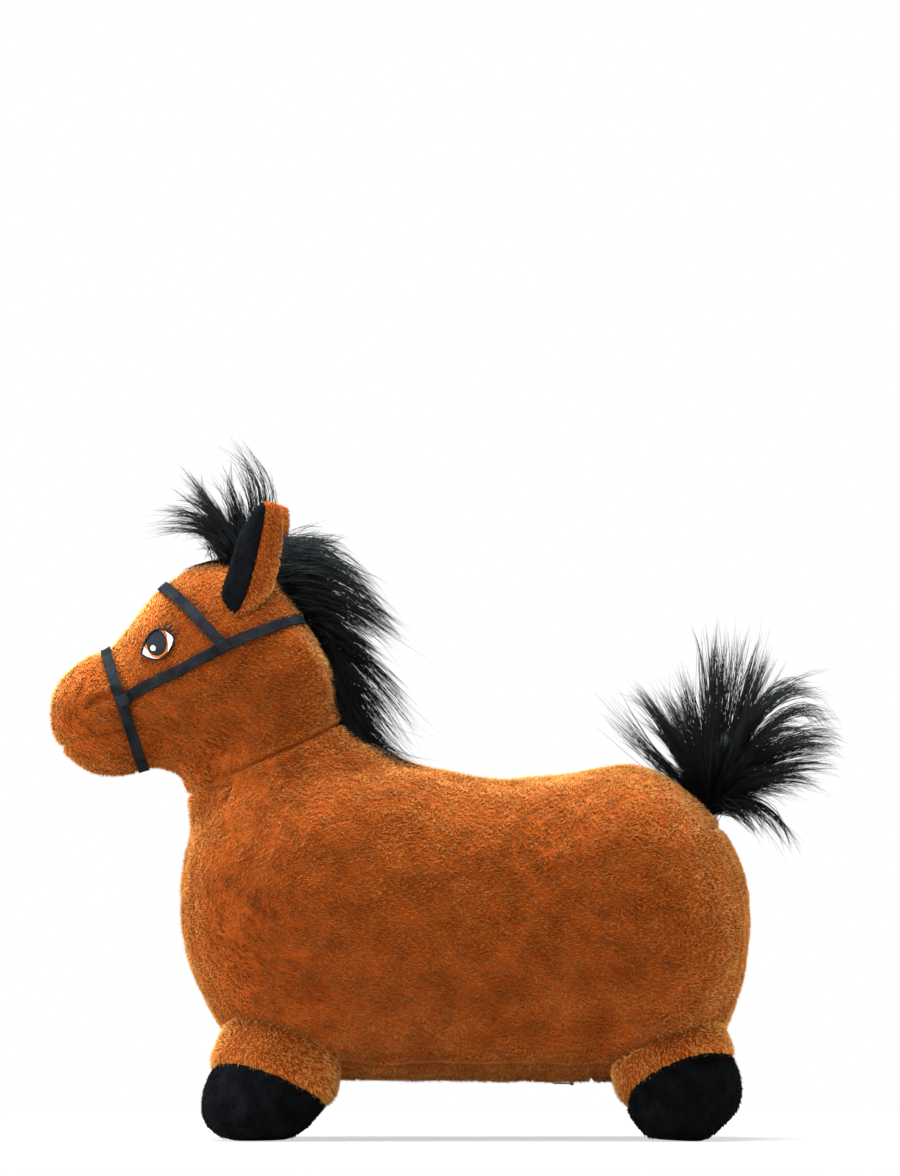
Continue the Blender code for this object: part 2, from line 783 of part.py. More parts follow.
def legs(plush, velour, shared):
    """Four plush sleeves, each ending in a velour hoof cup with a flat sole."""
    tables = (
        ("front", FRONT_LEG_SHARES, FRONT_LEG_START_SHARE),
        ("rear", REAR_LEG_SHARES, REAR_LEG_START_SHARE),
    )
    for place, table, start in tables:
        rows = leg_rows(table, start)
        seam = [Vector(rows[SEAM_ROW][:2]), Vector(rows[SEAM_ROW][2:4])]
        hollow = shared["left_leg_hollows"][place]
        above = beyond("above", *shifted(seam, SEAM_GAP / 2), BODY_WIDTH, BODY_WIDTH)
        not_hoof = beyond("not_hoof", *shifted(seam, -SEAM_GAP / 2), BODY_WIDTH, BODY_WIDTH)
        sleeve = loft("sleeve", rows, LIMB_SIDES)
        hoof = copied(sleeve, "hoof")
        kept(sleeve, above)
        cut(sleeve, hollow, shared["strap_under"])
        cut(hoof, not_hoof, hollow)
        centre = (rows[-1][0], rows[-1][5], BELLY_HEIGHT / 2)
        mirror_centre = (centre[0], -centre[1], centre[2])
        other_sleeve = mirrored(sleeve, "sleeve")
        other_hoof = mirrored(hoof, "hoof")
        finish(sleeve, f"leg_sleeve_{place}_left", plush)
        finish(other_sleeve, f"leg_sleeve_{place}_right", plush)
        finish(hoof, f"hoof_{place}_left", velour, centre)
        finish(other_hoof, f"hoof_{place}_right", velour, mirror_centre)


def bladder(vinyl, shared):
    """The air bladder: body, head and leg lobes in one hollow skin, with a dish for the valve."""
    outer_offset = -COVER_THICKNESS - BLADDER_GAP
    inner_offset = outer_offset - BLADDER_WALL
    centre = (body_x(VALVE_SHARE), 0)
    floor = valve_floor()
    ceiling = floor + VALVE_DISH_DEPTH
    solids = []
    for offset, wall in ((outer_offset, 0), (inner_offset, BLADDER_WALL)):
        whole = skin(offset, INSIDE_COARSER)
        lobes = []
        for table, start in (
            (FRONT_LEG_SHARES, FRONT_LEG_START_SHARE),
            (REAR_LEG_SHARES, REAR_LEG_START_SHARE),
        ):
            rows = leg_rows(table, start)
            lobe = as_tool(loft("lobe", rows, LIMB_SIDES // INSIDE_COARSER, offset))
            lobes += [lobe, as_tool(mirrored(lobe, "lobe"))]
        joined(whole, *lobes)
        muzzle = muzzle_space("muzzle_end", -2 * SEAM_GAP - wall)
        dish = as_tool(
            rod(
                "dish",
                (*centre, floor - OVERRUN),
                (*centre, ceiling + wall),
                VALVE_DISH_RADIUS + wall,
            )
        )
        cut(whole, muzzle, dish)
        solids.append(whole)
    outer, inner = solids
    TOOLS.remove(outer)
    outer.hide_render = False
    outer.display_type = "TEXTURED"
    bore = as_tool(
        rod(
            "bore",
            (*centre, ceiling - OVERRUN / 2),
            (*centre, ceiling + OVERRUN / 2),
            VALVE_STEM_RADIUS + VALVE_FIT,
        )
    )
    cut(outer, inner, bore)
    finish(outer, "bladder", vinyl)


def valve_floor():
    """Height of the bladder's underside at the belly."""
    return body_z(BELLY_SHARE) + COVER_THICKNESS + BLADDER_GAP


def valve(seat_vinyl, plug_vinyl):
    """A ring welded under the dish's ceiling, and the plug that fills its bore."""
    centre = (body_x(VALVE_SHARE), 0)
    seat_top = valve_floor() + VALVE_DISH_DEPTH - SEAM_GAP
    seat_bottom = seat_top - VALVE_SEAT_THICKNESS
    plug_top = seat_bottom - SEAM_GAP
    plug_bottom = plug_top - VALVE_HEAD_THICKNESS
    seat = rod("seat", (*centre, seat_bottom), (*centre, seat_top), VALVE_SEAT_RADIUS)
    bore = as_tool(
        rod(
            "seat_bore",
            (*centre, seat_bottom - OVERRUN),
            (*centre, seat_top + OVERRUN),
            VALVE_STEM_RADIUS + VALVE_FIT,
        )
    )
    cut(seat, bore)
    finish(seat, "valve_seat", seat_vinyl)
    plug = rod("plug", (*centre, plug_bottom), (*centre, plug_top), VALVE_HEAD_RADIUS)
    stem_start = (*centre, (plug_bottom + plug_top) / 2)
    stem_end = (*centre, plug_top + VALVE_STEM_LENGTH)
    stem = as_tool(rod("stem", stem_start, stem_end, VALVE_STEM_RADIUS))
    joined(plug, stem)
    finish(plug, "valve_plug", plug_vinyl, (*centre, plug_top))


def zip_places():
    """Ends of the chain along the body, and the heights of its underside and top."""
    start = body_x(ZIP_START_SHARE)
    bottom = body_z(BELLY_SHARE) + ZIP_DEPTH
    return start, start + ZIP_LENGTH, bottom, bottom + ZIP_CHAIN_THICKNESS


def zip_slot():
    """The opening in the belly panel that the tapes and the slider fill."""
    start, end, bottom, top = zip_places()
    half = ZIP_CHAIN_WIDTH / 2 + 2 * SEAM_GAP + ZIP_TAPE_WIDTH
    past = 3 * SEAM_GAP + SLIDER_BRIDGE
    low = (start - SEAM_GAP, -half, bottom - OVERRUN)
    high = (end + past, half, top + OVERRUN)
    return as_tool(box("zip_slot", low, high))


def zip_fastener(tape, metal):
    """Chain, two tapes, the slider round the chain and its hinged pull."""
    start, end, bottom, top = zip_places()
    half_chain = ZIP_CHAIN_WIDTH / 2
    chain = box("chain", (start, -half_chain, bottom), (end, half_chain, top))
    finish(chain, "zip_chain", tape)

    near = half_chain + SEAM_GAP
    middle = (bottom + top) / 2
    left = box(
        "tape",
        (start, -near - ZIP_TAPE_WIDTH, middle - ZIP_TAPE_THICKNESS / 2),
        (end + SEAM_GAP + SLIDER_BRIDGE, -near, middle + ZIP_TAPE_THICKNESS / 2),
    )
    right = mirrored(left, "tape")
    finish(left, "zip_tape_left", tape)
    finish(right, "zip_tape_right", tape)

    slider_end = end + SEAM_GAP + SLIDER_BRIDGE
    slider_start = slider_end - SLIDER_LENGTH
    half_slider = SLIDER_WIDTH / 2
    lower_top = bottom - SEAM_GAP
    lower_bottom = lower_top - SLIDER_PLATE
    upper_bottom = top + SEAM_GAP
    upper_top = upper_bottom + SLIDER_PLATE
    slider = box(
        "slider",
        (slider_start, -half_slider, lower_bottom),
        (slider_end, half_slider, lower_top),
    )
    upper = box(
        "upper_plate",
        (slider_start, -half_slider, upper_bottom),
        (slider_end, half_slider, upper_top),
    )
    bridge = box(
        "bridge",
        (slider_end - SLIDER_BRIDGE, -half_chain, (lower_bottom + lower_top) / 2),
        (slider_end - SLIDER_BRIDGE / 2, half_chain, (upper_bottom + upper_top) / 2),
    )
    pin_x, pin_z = pull_pin()
    eye_radius = PIN_RADIUS + PIN_FIT + EYE_RING
    inner = PULL_WIDTH / 2 + SEAM_GAP
    outer = inner + CHEEK_THICKNESS
    cheeks = [
        box(
            "cheek",
            (pin_x - eye_radius, min(a, b), pin_z - PIN_RADIUS - PIN_FIT),
            (pin_x + eye_radius, max(a, b), (lower_bottom + lower_top) / 2),
        )
        for a, b in ((inner, outer), (-inner, -outer))
    ]
    reach = inner + CHEEK_THICKNESS / 2
    pin = rod("pin", (pin_x, -reach, pin_z), (pin_x, reach, pin_z), PIN_RADIUS)
    tools = [as_tool(tool) for tool in (upper, bridge, *cheeks, pin)]
    joined(slider, *tools)
    finish(slider, "zip_slider", metal, (slider_start, 0, lower_bottom))

    half_pull = PULL_WIDTH / 2
    pull = rod("pull", (pin_x, -half_pull, pin_z), (pin_x, half_pull, pin_z), eye_radius)
    plate = box(
        "plate",
        (pin_x - PULL_LENGTH, -half_pull, pin_z - PULL_THICKNESS / 2),
        (pin_x, half_pull, pin_z + PULL_THICKNESS / 2),
    )
    hole = rod(
        "pull_bore",
        (pin_x, -half_pull - OVERRUN, pin_z),
        (pin_x, half_pull + OVERRUN, pin_z),
        PIN_RADIUS + PIN_FIT,
    )
    joined(pull, as_tool(plate))
    cut(pull, as_tool(hole))
    finish(pull, "zip_pull", metal, (pin_x, 0, pin_z))


def pull_pin():
    """x and z of the pin that the pull hinges on, under the slider's lower plate."""
    start, end, bottom, top = zip_places()
    plate_bottom = bottom - SEAM_GAP - SLIDER_PLATE
    eye_radius = PIN_RADIUS + PIN_FIT + EYE_RING
    pin_x = end + SEAM_GAP + SLIDER_BRIDGE - SLIDER_LENGTH / 2
    return pin_x, plate_bottom - SEAM_GAP - eye_radius


def muzzle_space(name, distance):
    """The space in front of the noseband's middle, which the distance moves forward."""
    line = head_points(NOSEBAND_SHARES[2:0:-1])
    front = beyond(name, *shifted(line, distance), HEAD_LENGTH, HEAD_WIDTH)
    seam = head_points(NECK_SEAM_SHARES)
    above = beyond(name + "_above", *seam, HEAD_LENGTH + HEAD_HEIGHT, HEAD_WIDTH)
    return kept(front, above)


def ear_x(share):
    return head_x(EAR_PLACE_SHARES[0]) + share * EAR_WIDTH


def ear_y(share):
    """Middle of the left ear at a share of its height; the ear leans out."""
    return -EAR_SPACING / 2 - share * EAR_LEAN


def ear_z(share):
    return head_z(EAR_PLACE_SHARES[1]) + share * EAR_HEIGHT


def ear_fold():
    """A point on the axis about which the left ear folds outwards."""
    aside, up = EAR_FOLD_SHARES
    return (ear_x(1 / 2), ear_y(0) - aside * EAR_DEPTH, ear_z(up))


def ears(plush, velour, shared):
    """Leaf-shaped ears, plush behind and black velour in front, cut to the head's surface."""
    rows = [
        (ear_x(a), ear_z(h), ear_x(b), ear_z(h), depth * EAR_DEPTH / 2, ear_y(h))
        for h, a, b, depth in EAR_SHARES
    ]
    back = loft("ear", rows, LIMB_SIDES)
    cut(back, shared["ear_clearance"])
    lining = copied(back, "lining")
    foot_x, foot_z = LINING_FOOT_SHARES
    tip_x, tip_z = LINING_TIP_SHARES
    near = LINING_DEPTH_SHARE * EAR_DEPTH / 2
    foot = Vector((ear_x(foot_x), ear_y(foot_z) - near, ear_z(foot_z)))
    tip = Vector((ear_x(tip_x), ear_y(tip_z) - near, ear_z(tip_z)))
    up = (tip - foot).normalized()
    front = Vector((-math.cos(LINING_TURN), -math.sin(LINING_TURN), 0))
    front = (front - front.dot(up) * up).normalized()
    side = up.cross(front)
    size = EAR_HEIGHT + EAR_WIDTH
    turn = Matrix((front, side, up)).transposed().to_4x4()
    spaces = []
    for gap in (0, SEAM_GAP):
        space = box("lining_space", (-gap, -size, -size), (size, size, size))
        space.data.transform(Matrix.Translation(foot) @ turn)
        spaces.append(as_tool(space))
    kept(lining, spaces[0])
    cut(back, spaces[1])
    fold = ear_fold()
    other_fold = (fold[0], -fold[1], fold[2])
    other_back = mirrored(back, "ear")
    other_lining = mirrored(lining, "lining")
    finish(back, "ear_left", plush, fold)
    finish(other_back, "ear_right", plush, other_fold)
    finish(lining, "ear_lining_left", velour, fold)
    finish(other_lining, "ear_lining_right", velour, other_fold)


def band(name, shares, width, near=None, far=None):
    """A cutter as wide as a strap, along its centre line on the head."""
    near = -HEAD_WIDTH if near is None else near
    far = HEAD_WIDTH if far is None else far
    return as_tool(prism(name, ribbon(head_points(shares), width), near, far))


def bridle(ribbon_look, thread, shared):
    """Flat straps laid on the head, and the sewn squares where they meet."""
    wide = STRAP_WIDTH + 2 * SEAM_GAP
    under, over = shared["strap_under"], shared["strap_over"]
    noseband = copied(over, "noseband")
    nose_tool = band("noseband_band", NOSEBAND_SHARES, STRAP_WIDTH)
    kept(noseband, nose_tool, shared["neck_seam_up"])
    cut(noseband, under)
    finish(noseband, "noseband", ribbon_look)

    headstrap = copied(over, "headstrap")
    kept(headstrap, band("headstrap_band", HEADSTRAP_SHARES, STRAP_WIDTH))
    cut(headstrap, under, band("noseband_wide", NOSEBAND_SHARES, wide))
    finish(headstrap, "headstrap", ribbon_look)

    browband = copied(over, "browband")
    kept(browband, band("browband_band", BROWBAND_SHARES, STRAP_WIDTH))
    cut(browband, under, band("headstrap_wide", HEADSTRAP_SHARES, wide))
    finish(browband, "browband", ribbon_look)

    tack_top, tack_bottom = shared["tack_over"], shared["tack_under"]
    places = (
        ("cheek", CHEEK_TACK_SHARES, HEADSTRAP_SHARES[1:3]),
        ("brow", BROW_TACK_SHARES, HEADSTRAP_SHARES[4:6]),
    )
    for place, centre, line in places:
        start, end = head_points(line)
        middle = head_points((centre,))[0]
        half = (end - start).normalized() * TACK_SIDE / 2
        outline = ribbon([middle - half, middle + half], TACK_SIDE)
        tack = copied(tack_top, "tack")
        kept(tack, as_tool(prism("tack_space", outline, -HEAD_WIDTH, 0)))
        cut(tack, tack_bottom)
        other = mirrored(tack, "tack")
        finish(tack, f"tack_{place}_left", thread)
        finish(other, f"tack_{place}_right", thread)


def oval(centre, width, height, count=12):
    turns = [2 * math.pi * step / count for step in range(count)]
    return [
        Vector((centre.x + width / 2 * math.cos(a), centre.y + height / 2 * math.sin(a)))
        for a in turns
    ]


def eyes(black, white, amber, pupil_black, shared):
    """Embroidered eyes: each field is a thin layer on the head, its outline seen from the side."""
    middle = head_points((EYE_PLACE_SHARES,))[0]

    def field(name, outline):
        made = prism(name, outline, -HEAD_WIDTH, -OUTLINE_WIDTH)
        return kept(made, shared["eye_over"])

    def outline_points(grown):
        return [
            middle + Vector((x * (EYE_LENGTH + 2 * grown), z * (EYE_HEIGHT + 2 * grown)))
            for x, z in EYE_SHARES
        ]

    def tool(name, outline):
        return as_tool(prism(name, outline, -HEAD_WIDTH, -OUTLINE_WIDTH / 2))

    iris_centre = middle + Vector(
        (IRIS_SHIFT_SHARES[0] * EYE_LENGTH, IRIS_SHIFT_SHARES[1] * EYE_HEIGHT)
    )
    spot_centre = middle + Vector(
        (HIGHLIGHT_SHIFT_SHARES[0] * EYE_LENGTH, HIGHLIGHT_SHIFT_SHARES[1] * EYE_HEIGHT)
    )
    iris_width = IRIS_HEIGHT * IRIS_WIDTH_SHARE
    gap = SEAM_GAP

    edge = outline_points(OUTLINE_WIDTH)
    lashed = []
    for index, point in enumerate(edge):
        lashed.append(point)
        for (edge_index, share), turn in zip(LASH_SHARES, LASH_TURNS):
            if edge_index == index:
                root = point.lerp(edge[index + 1], share)
                along = (edge[index + 1] - point).normalized() * LASH_WIDTH / 2
                way = Vector((math.sin(turn), math.cos(turn)))
                lashed += [root - along, root + way * LASH_LENGTH, root + along]
    outline = field("outline", lashed)
    cut(outline, tool("eye_hole", outline_points(gap)), shared["strap_under"])

    pieces = {"eye_outline": (outline, black)}
    ball_white = field("white", outline_points(0))
    iris_hole = tool("iris_hole", oval(iris_centre, iris_width + 2 * gap, IRIS_HEIGHT + 2 * gap))
    cut(ball_white, iris_hole, shared["strap_under"])
    pieces["eye_white"] = (ball_white, white)

    iris = field("iris", oval(iris_centre, iris_width, IRIS_HEIGHT))
    pupil_size = (iris_width - 2 * IRIS_RING, IRIS_HEIGHT - 2 * IRIS_RING)
    grown = [side + 2 * gap for side in pupil_size]
    kept(iris, tool("eye_edge", outline_points(0)))
    cut(iris, tool("pupil_hole", oval(iris_centre, *grown)), shared["strap_under"])
    pieces["eye_iris"] = (iris, amber)

    pupil = field("pupil", oval(iris_centre, *pupil_size))
    kept(pupil, tool("eye_edge", outline_points(0)))
    spot_width = HIGHLIGHT_HEIGHT * IRIS_WIDTH_SHARE
    spot_size = (spot_width + 2 * gap, HIGHLIGHT_HEIGHT + 2 * gap)
    cut(pupil, tool("spot_hole", oval(spot_centre, *spot_size)), shared["strap_under"])
    pieces["eye_pupil"] = (pupil, pupil_black)

    spot = field("spot", oval(spot_centre, spot_width, HIGHLIGHT_HEIGHT))
    cut(spot, shared["strap_under"])
    pieces["eye_highlight"] = (spot, white)

    for name, (piece, look) in pieces.items():
        other = mirrored(piece, name)
        finish(piece, name + "_left", look)
        finish(other, name + "_right", look)


def along_line(points, share):
    """A point at a share of a line's length."""
    lengths = [(b - a).length for a, b in zip(points, points[1:])]
    left = share * sum(lengths)
    for index, length in enumerate(lengths):
        if left <= length or index == len(lengths) - 1:
            return points[index].lerp(points[index + 1], left / length)
        left -= length


def add_lock(shape, root, tip, radius):
    """One tapered lock of hair, closed at its root and drawn to a point."""
    way = tip - root
    first = way.orthogonal().normalized()
    second = way.normalized().cross(first)
    rings = []
    for share, size in LOCK_RING_SHARES:
        rise = Vector((0, 0, LOCK_SAG_SHARE * way.length * 4 * share * (1 - share)))
        middle = root + way * share + rise
        ring = []
        for side in range(LOCK_SIDES):
            turn = 2 * math.pi * side / LOCK_SIDES
            edge = first * math.cos(turn) + second * math.sin(turn)
            ring.append(shape.verts.new(middle + edge * radius * size))
        rings.append(ring)
    end = shape.verts.new(tip)
    shape.faces.new(rings[0][::-1])
    for side in range(LOCK_SIDES):
        for ring, after in zip(rings, rings[1:]):
            shape.faces.new((ring[side - 1], ring[side], after[side], after[side - 1]))
        shape.faces.new((rings[-1][side - 1], rings[-1][side], end))


def tuft(name, foot, reach, radius, roots, locks, cores):
    """A clump of hair: round cores and the locks that give its outline, joined into one."""
    def place(x, z, y):
        return Vector((foot.x + x * reach, y * reach, foot.y + z * reach))

    masses = []
    for x, z, half_x, half_z, half_y in cores:
        radii = (half_x * reach, half_y * reach, half_z * reach)
        masses.append(ball(name, place(x, z, 0), radii))
    hair = masses[0]
    shape = bmesh.new()
    for share, x, z, y in locks:
        root = along_line(roots, share) if len(roots) > 1 else roots[0]
        add_lock(shape, Vector((root.x, 0, root.y)), place(x, z, y), radius)
    others = [as_tool(mass) for mass in masses[1:]]
    joined(hair, *others)
    return combined(hair, "UNION", as_tool(add_object("locks", shape)), itself=True)


def mane(pile, tape, shared):
    """Forelock and two mane clumps, with the sewn strips that carry the mane."""
    strap_wide = band("strap_wide", HEADSTRAP_SHARES, STRAP_WIDTH + 2 * STRAP_TO_HAIR)
    brow_wide = band("brow_wide", BROWBAND_SHARES, STRAP_WIDTH + 2 * STRAP_TO_HAIR)
    clumps = (
        (
            "forelock",
            FORELOCK_REACH,
            FORELOCK_LOCK,
            FORELOCK_ROOT_SHARES,
            FORELOCK_SHARES,
            FORELOCK_CORE_SHARES,
        ),
        (
            "mane_upper",
            UPPER_MANE_REACH,
            UPPER_MANE_LOCK,
            UPPER_MANE_ROOT_SHARES,
            UPPER_MANE_SHARES,
            UPPER_MANE_CORE_SHARES,
        ),
        (
            "mane_lower",
            LOWER_MANE_REACH,
            LOWER_MANE_LOCK,
            LOWER_MANE_ROOT_SHARES,
            LOWER_MANE_SHARES,
            LOWER_MANE_CORE_SHARES,
        ),
    )
    made = {}
    for name, reach, radius, root_shares, locks, cores in clumps:
        roots = head_points(root_shares)
        clump = tuft(name, roots[0], reach, radius, roots, locks, cores)
        under = shared["strap_under" if name == "forelock" else "hair_under"]
        cut(clump, under, strap_wide, brow_wide, *shared["ears_wide"])
        made[name] = clump
    dividers = {
        "mane_upper": [made["forelock"]],
        "mane_lower": [made["mane_upper"]],
    }
    for name, others in dividers.items():
        cut(made[name], *others)
    for name, clump in made.items():
        finish(clump, name, pile)

    half = MANE_STRIP_WIDTH / 2
    strap_z = head_z(HEADSTRAP_SHARES[-1][1])
    clear = STRAP_WIDTH / 2 + SEAM_GAP
    spaces = {
        "mane_strip_upper": (
            (head_x(STRIP_START_SHARE), -half, strap_z + clear),
            (head_x(1) + OVERRUN, half, head_z(1) + OVERRUN),
        ),
        "mane_strip_lower": (
            (head_x(STRIP_START_SHARE), -half, body_z(RUMP_TOP_SHARE)),
            (head_x(LOWER_MANE_ROOT_SHARES[-1][0]), half, strap_z - clear),
        ),
    }
    for name, (low, high) in spaces.items():
        strip = box(name, low, high)
        kept(strip, shared["strip_over"])
        cut(strip, shared["strap_under"])
        finish(strip, name, tape)


def tail_place():
    """Middle of the tail's stub, just off the rump's surface."""
    x, z = TAIL_PLACE_SHARES
    slope = TAIL_STUB_RISE / math.sqrt(2)
    return (body_x(x) + slope, 0, body_z(z) + slope)


def tail_ball(name, radius):
    return ball(name, tail_place(), (radius,) * 3, sides=LIMB_SIDES)


def tail(pile, felt, shared):
    """The tail's stub, and the tuft on it, clear of the rump wherever the tail swings."""
    finish(tail_ball("stub", TAIL_STUB_RADIUS), "tail_stub", felt, tail_place())
    middle = Vector(tail_place())
    foot = Vector((body_x(TAIL_PLACE_SHARES[0]), body_z(TAIL_PLACE_SHARES[1])))
    root = foot + Vector(TAIL_ROOT_SHARES) * TAIL_REACH
    hair = tuft("tail", foot, TAIL_REACH, TAIL_LOCK, [root], TAIL_SHARES, TAIL_CORE_SHARES)
    neck = as_tool(
        rod("tail_neck", middle, (root.x, 0, root.y), TAIL_STUB_RADIUS * TAIL_NECK_SHARE)
    )
    joined(hair, neck)
    stub_space = as_tool(tail_ball("stub_space", TAIL_STUB_RADIUS + SEAM_GAP))
    spaces = [stub_space]
    for turn in (-TAIL_SWING, 0, TAIL_SWING):
        space = copied(shared["body_clear"], "swept")
        swing = Matrix.Rotation(turn, 4, "Z")
        space.data.transform(Matrix.Translation(middle) @ swing @ Matrix.Translation(-middle))
        spaces.append(as_tool(space))
    cut(hair, *spaces)
    finish(hair, "tail_tuft", pile, tail_place())


def shared_tools():
    """Solids that several pieces are cut by."""
    shared = {
        "skin": skin(0),
        "hollow": skin(-COVER_THICKNESS, INSIDE_COARSER),
        "strap_under": skin(LAY_GAP),
        "strap_over": skin(LAY_GAP + STRAP_THICKNESS),
        "tack_under": skin(LAY_GAP + STRAP_THICKNESS + SEAM_GAP),
        "tack_over": skin(LAY_GAP + STRAP_THICKNESS + SEAM_GAP + TACK_THICKNESS),
        "strip_over": skin(LAY_GAP + MANE_STRIP_THICKNESS),
        "hair_under": skin(LAY_GAP + MANE_STRIP_THICKNESS + SEAM_GAP),
        "ear_clearance": skin(EAR_CLEARANCE),
        "eye_over": as_tool(head_loft(LAY_GAP + EYE_THICKNESS)),
        "body_clear": as_tool(body_loft(TAIL_CLEARANCE)),
        "zip_slot": zip_slot(),
        "muzzle_space": muzzle_space("muzzle_space", SEAM_GAP / 2),
        "muzzle_space_wide": muzzle_space("muzzle_space_wide", -SEAM_GAP / 2),
    }
    left = box("left_half", (-BODY_LENGTH, -BODY_WIDTH, 0), (BODY_LENGTH, -SEAM_GAP / 2, HEIGHT))
    shared["left_half"] = as_tool(left)
    seam = head_points(NECK_SEAM_SHARES)
    reach = BODY_LENGTH + BODY_HEIGHT
    for name, side in (("neck_seam_up", 1), ("above_neck_seam", -1)):
        line = shifted(seam, side * SEAM_GAP / 2)
        shared[name] = beyond(name, *line, reach, BODY_WIDTH)
    hollows = {}
    for place, table, start in (
        ("front", FRONT_LEG_SHARES, FRONT_LEG_START_SHARE),
        ("rear", REAR_LEG_SHARES, REAR_LEG_START_SHARE),
    ):
        rows = leg_rows(table, start)
        sides = LIMB_SIDES // INSIDE_COARSER
        hollows[place] = as_tool(loft("leg_hollow", rows, sides, -COVER_THICKNESS))
    right = [as_tool(mirrored(hollow, "leg_hollow")) for hollow in hollows.values()]
    shared["left_leg_hollows"] = hollows
    shared["leg_hollows"] = [*hollows.values(), *right]
    return shared


def ear_spaces():
    """Both ears, grown by their clearance, which the hair keeps out of."""
    grown = EAR_CLEARANCE + SEAM_GAP
    rows = [
        (ear_x(a), ear_z(h), ear_x(b), ear_z(h), depth * EAR_DEPTH / 2, ear_y(h))
        for h, a, b, depth in EAR_SHARES
    ]
    left = as_tool(loft("ear_space", rows, LIMB_SIDES, grown))
    return [left, as_tool(mirrored(left, "ear_space"))]


def main():
    clear_scene()
    plush = material("brown_plush", 0.43, 0.13, 0.035, 0.95)
    velour = material("black_velour", 0.012, 0.012, 0.014, 0.9)
    pile = material("black_pile", 0.010, 0.010, 0.011, 0.75)
    strap = material("black_ribbon", 0.03, 0.028, 0.028, 0.55)
    thread = material("black_thread", 0.008, 0.008, 0.009, 0.6)
    white = material("white_thread", 0.80, 0.78, 0.74, 0.6)
    amber = material("amber_thread", 0.36, 0.13, 0.04, 0.6)
    vinyl = material("grey_vinyl", 0.45, 0.46, 0.48, 0.4)
    hard_vinyl = material("clear_vinyl", 0.65, 0.66, 0.68, 0.3)
    fibre = material("white_fibre", 0.85, 0.85, 0.83, 1.0)
    tape = material("brown_tape", 0.20, 0.07, 0.02, 0.8)
    metal = material("painted_zinc", 0.16, 0.06, 0.02, 0.4, 0.8)

    shared = shared_tools()
    shared["ears_wide"] = ear_spaces()
    body_cover(plush, shared)
    head_cover(plush, fibre, shared)
    legs(plush, velour, shared)
    bladder(vinyl, shared)
    valve(hard_vinyl, hard_vinyl)
    zip_fastener(tape, metal)
    ears(plush, velour, shared)
    bridle(strap, thread, shared)
    eyes(thread, white, amber, pile, shared)
    mane(pile, tape, shared)
    tail(pile, velour, shared)
    for tool in TOOLS:
        bpy.data.objects.remove(tool)


main()
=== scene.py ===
"""A plush hopping horse: pile, velour, long hair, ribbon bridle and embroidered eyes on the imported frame.

Metres, +Z up. The nose points to -X, and the horse's left side faces the camera at -Y.
"""

import math

import bmesh
import bpy
import numpy as np
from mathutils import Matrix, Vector


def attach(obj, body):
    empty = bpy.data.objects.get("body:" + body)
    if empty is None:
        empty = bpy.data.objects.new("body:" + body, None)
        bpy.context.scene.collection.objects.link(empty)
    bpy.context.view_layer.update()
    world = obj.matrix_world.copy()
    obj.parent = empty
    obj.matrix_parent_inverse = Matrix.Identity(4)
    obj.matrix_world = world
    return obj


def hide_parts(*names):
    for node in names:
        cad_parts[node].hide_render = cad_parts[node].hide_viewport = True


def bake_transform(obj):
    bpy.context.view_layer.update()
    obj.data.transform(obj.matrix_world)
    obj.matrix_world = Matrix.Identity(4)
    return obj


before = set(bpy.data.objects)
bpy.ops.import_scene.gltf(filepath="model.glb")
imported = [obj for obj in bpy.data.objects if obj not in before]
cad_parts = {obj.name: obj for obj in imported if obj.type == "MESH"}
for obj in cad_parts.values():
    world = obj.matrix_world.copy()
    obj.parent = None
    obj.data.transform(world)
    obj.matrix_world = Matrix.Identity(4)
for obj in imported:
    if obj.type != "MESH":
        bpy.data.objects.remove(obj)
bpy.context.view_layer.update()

# Sizes of the cover, as in the frame
BODY_LENGTH = 0.496
BODY_HEIGHT = 0.2766
BODY_WIDTH = 0.250
BELLY_HEIGHT = 0.0487
GUSSET_WIDTH = 0.118
NECK_LENGTH = 0.2097
NECK_HEIGHT = 0.1697
NECK_WIDTH = 0.146
HEAD_LENGTH = 0.2449
HEAD_HEIGHT = 0.1984
HEAD_WIDTH = 0.136
HOOF_LENGTH = 0.1027
HOOF_WIDTH = 0.095
HOOF_OFFSET = 0.058
EAR_HEIGHT = 0.1025
EAR_WIDTH = 0.054
EAR_DEPTH = 0.034
EAR_SPACING = 0.090
EAR_LEAN = 0.012
BODY_SQUARENESS = 2.15
BODY_FRONT = -0.224166

# x, top, bottom and width as shares of the body's length, height, height and width
BODY_SHARES = (
    (0.000, 0.55, 0.55, 0.00),
    (0.004, 0.66, 0.45, 0.20),
    (0.016, 0.77, 0.37, 0.40),
    (0.036, 0.87, 0.28, 0.58),
    (0.067, 0.95, 0.18, 0.73),
    (0.114, 1.00, 0.10, 0.85),
    (0.184, 1.04, 0.04, 0.94),
    (0.272, 1.045, 0.012, 0.985),
    (0.368, 1.02, 0.003, 0.98),
    (0.456, 0.985, 0.002, 0.96),
    (0.553, 0.957, 0.002, 0.955),
    (0.649, 0.968, 0.002, 0.97),
    (0.737, 0.992, 0.002, 0.99),
    (0.807, 0.998, 0.006, 1.00),
    (0.868, 0.952, 0.030, 0.96),
    (0.921, 0.868, 0.090, 0.86),
    (0.958, 0.780, 0.170, 0.70),
    (0.982, 0.690, 0.280, 0.50),
    (0.995, 0.610, 0.400, 0.27),
    (1.000, 0.510, 0.510, 0.00),
)

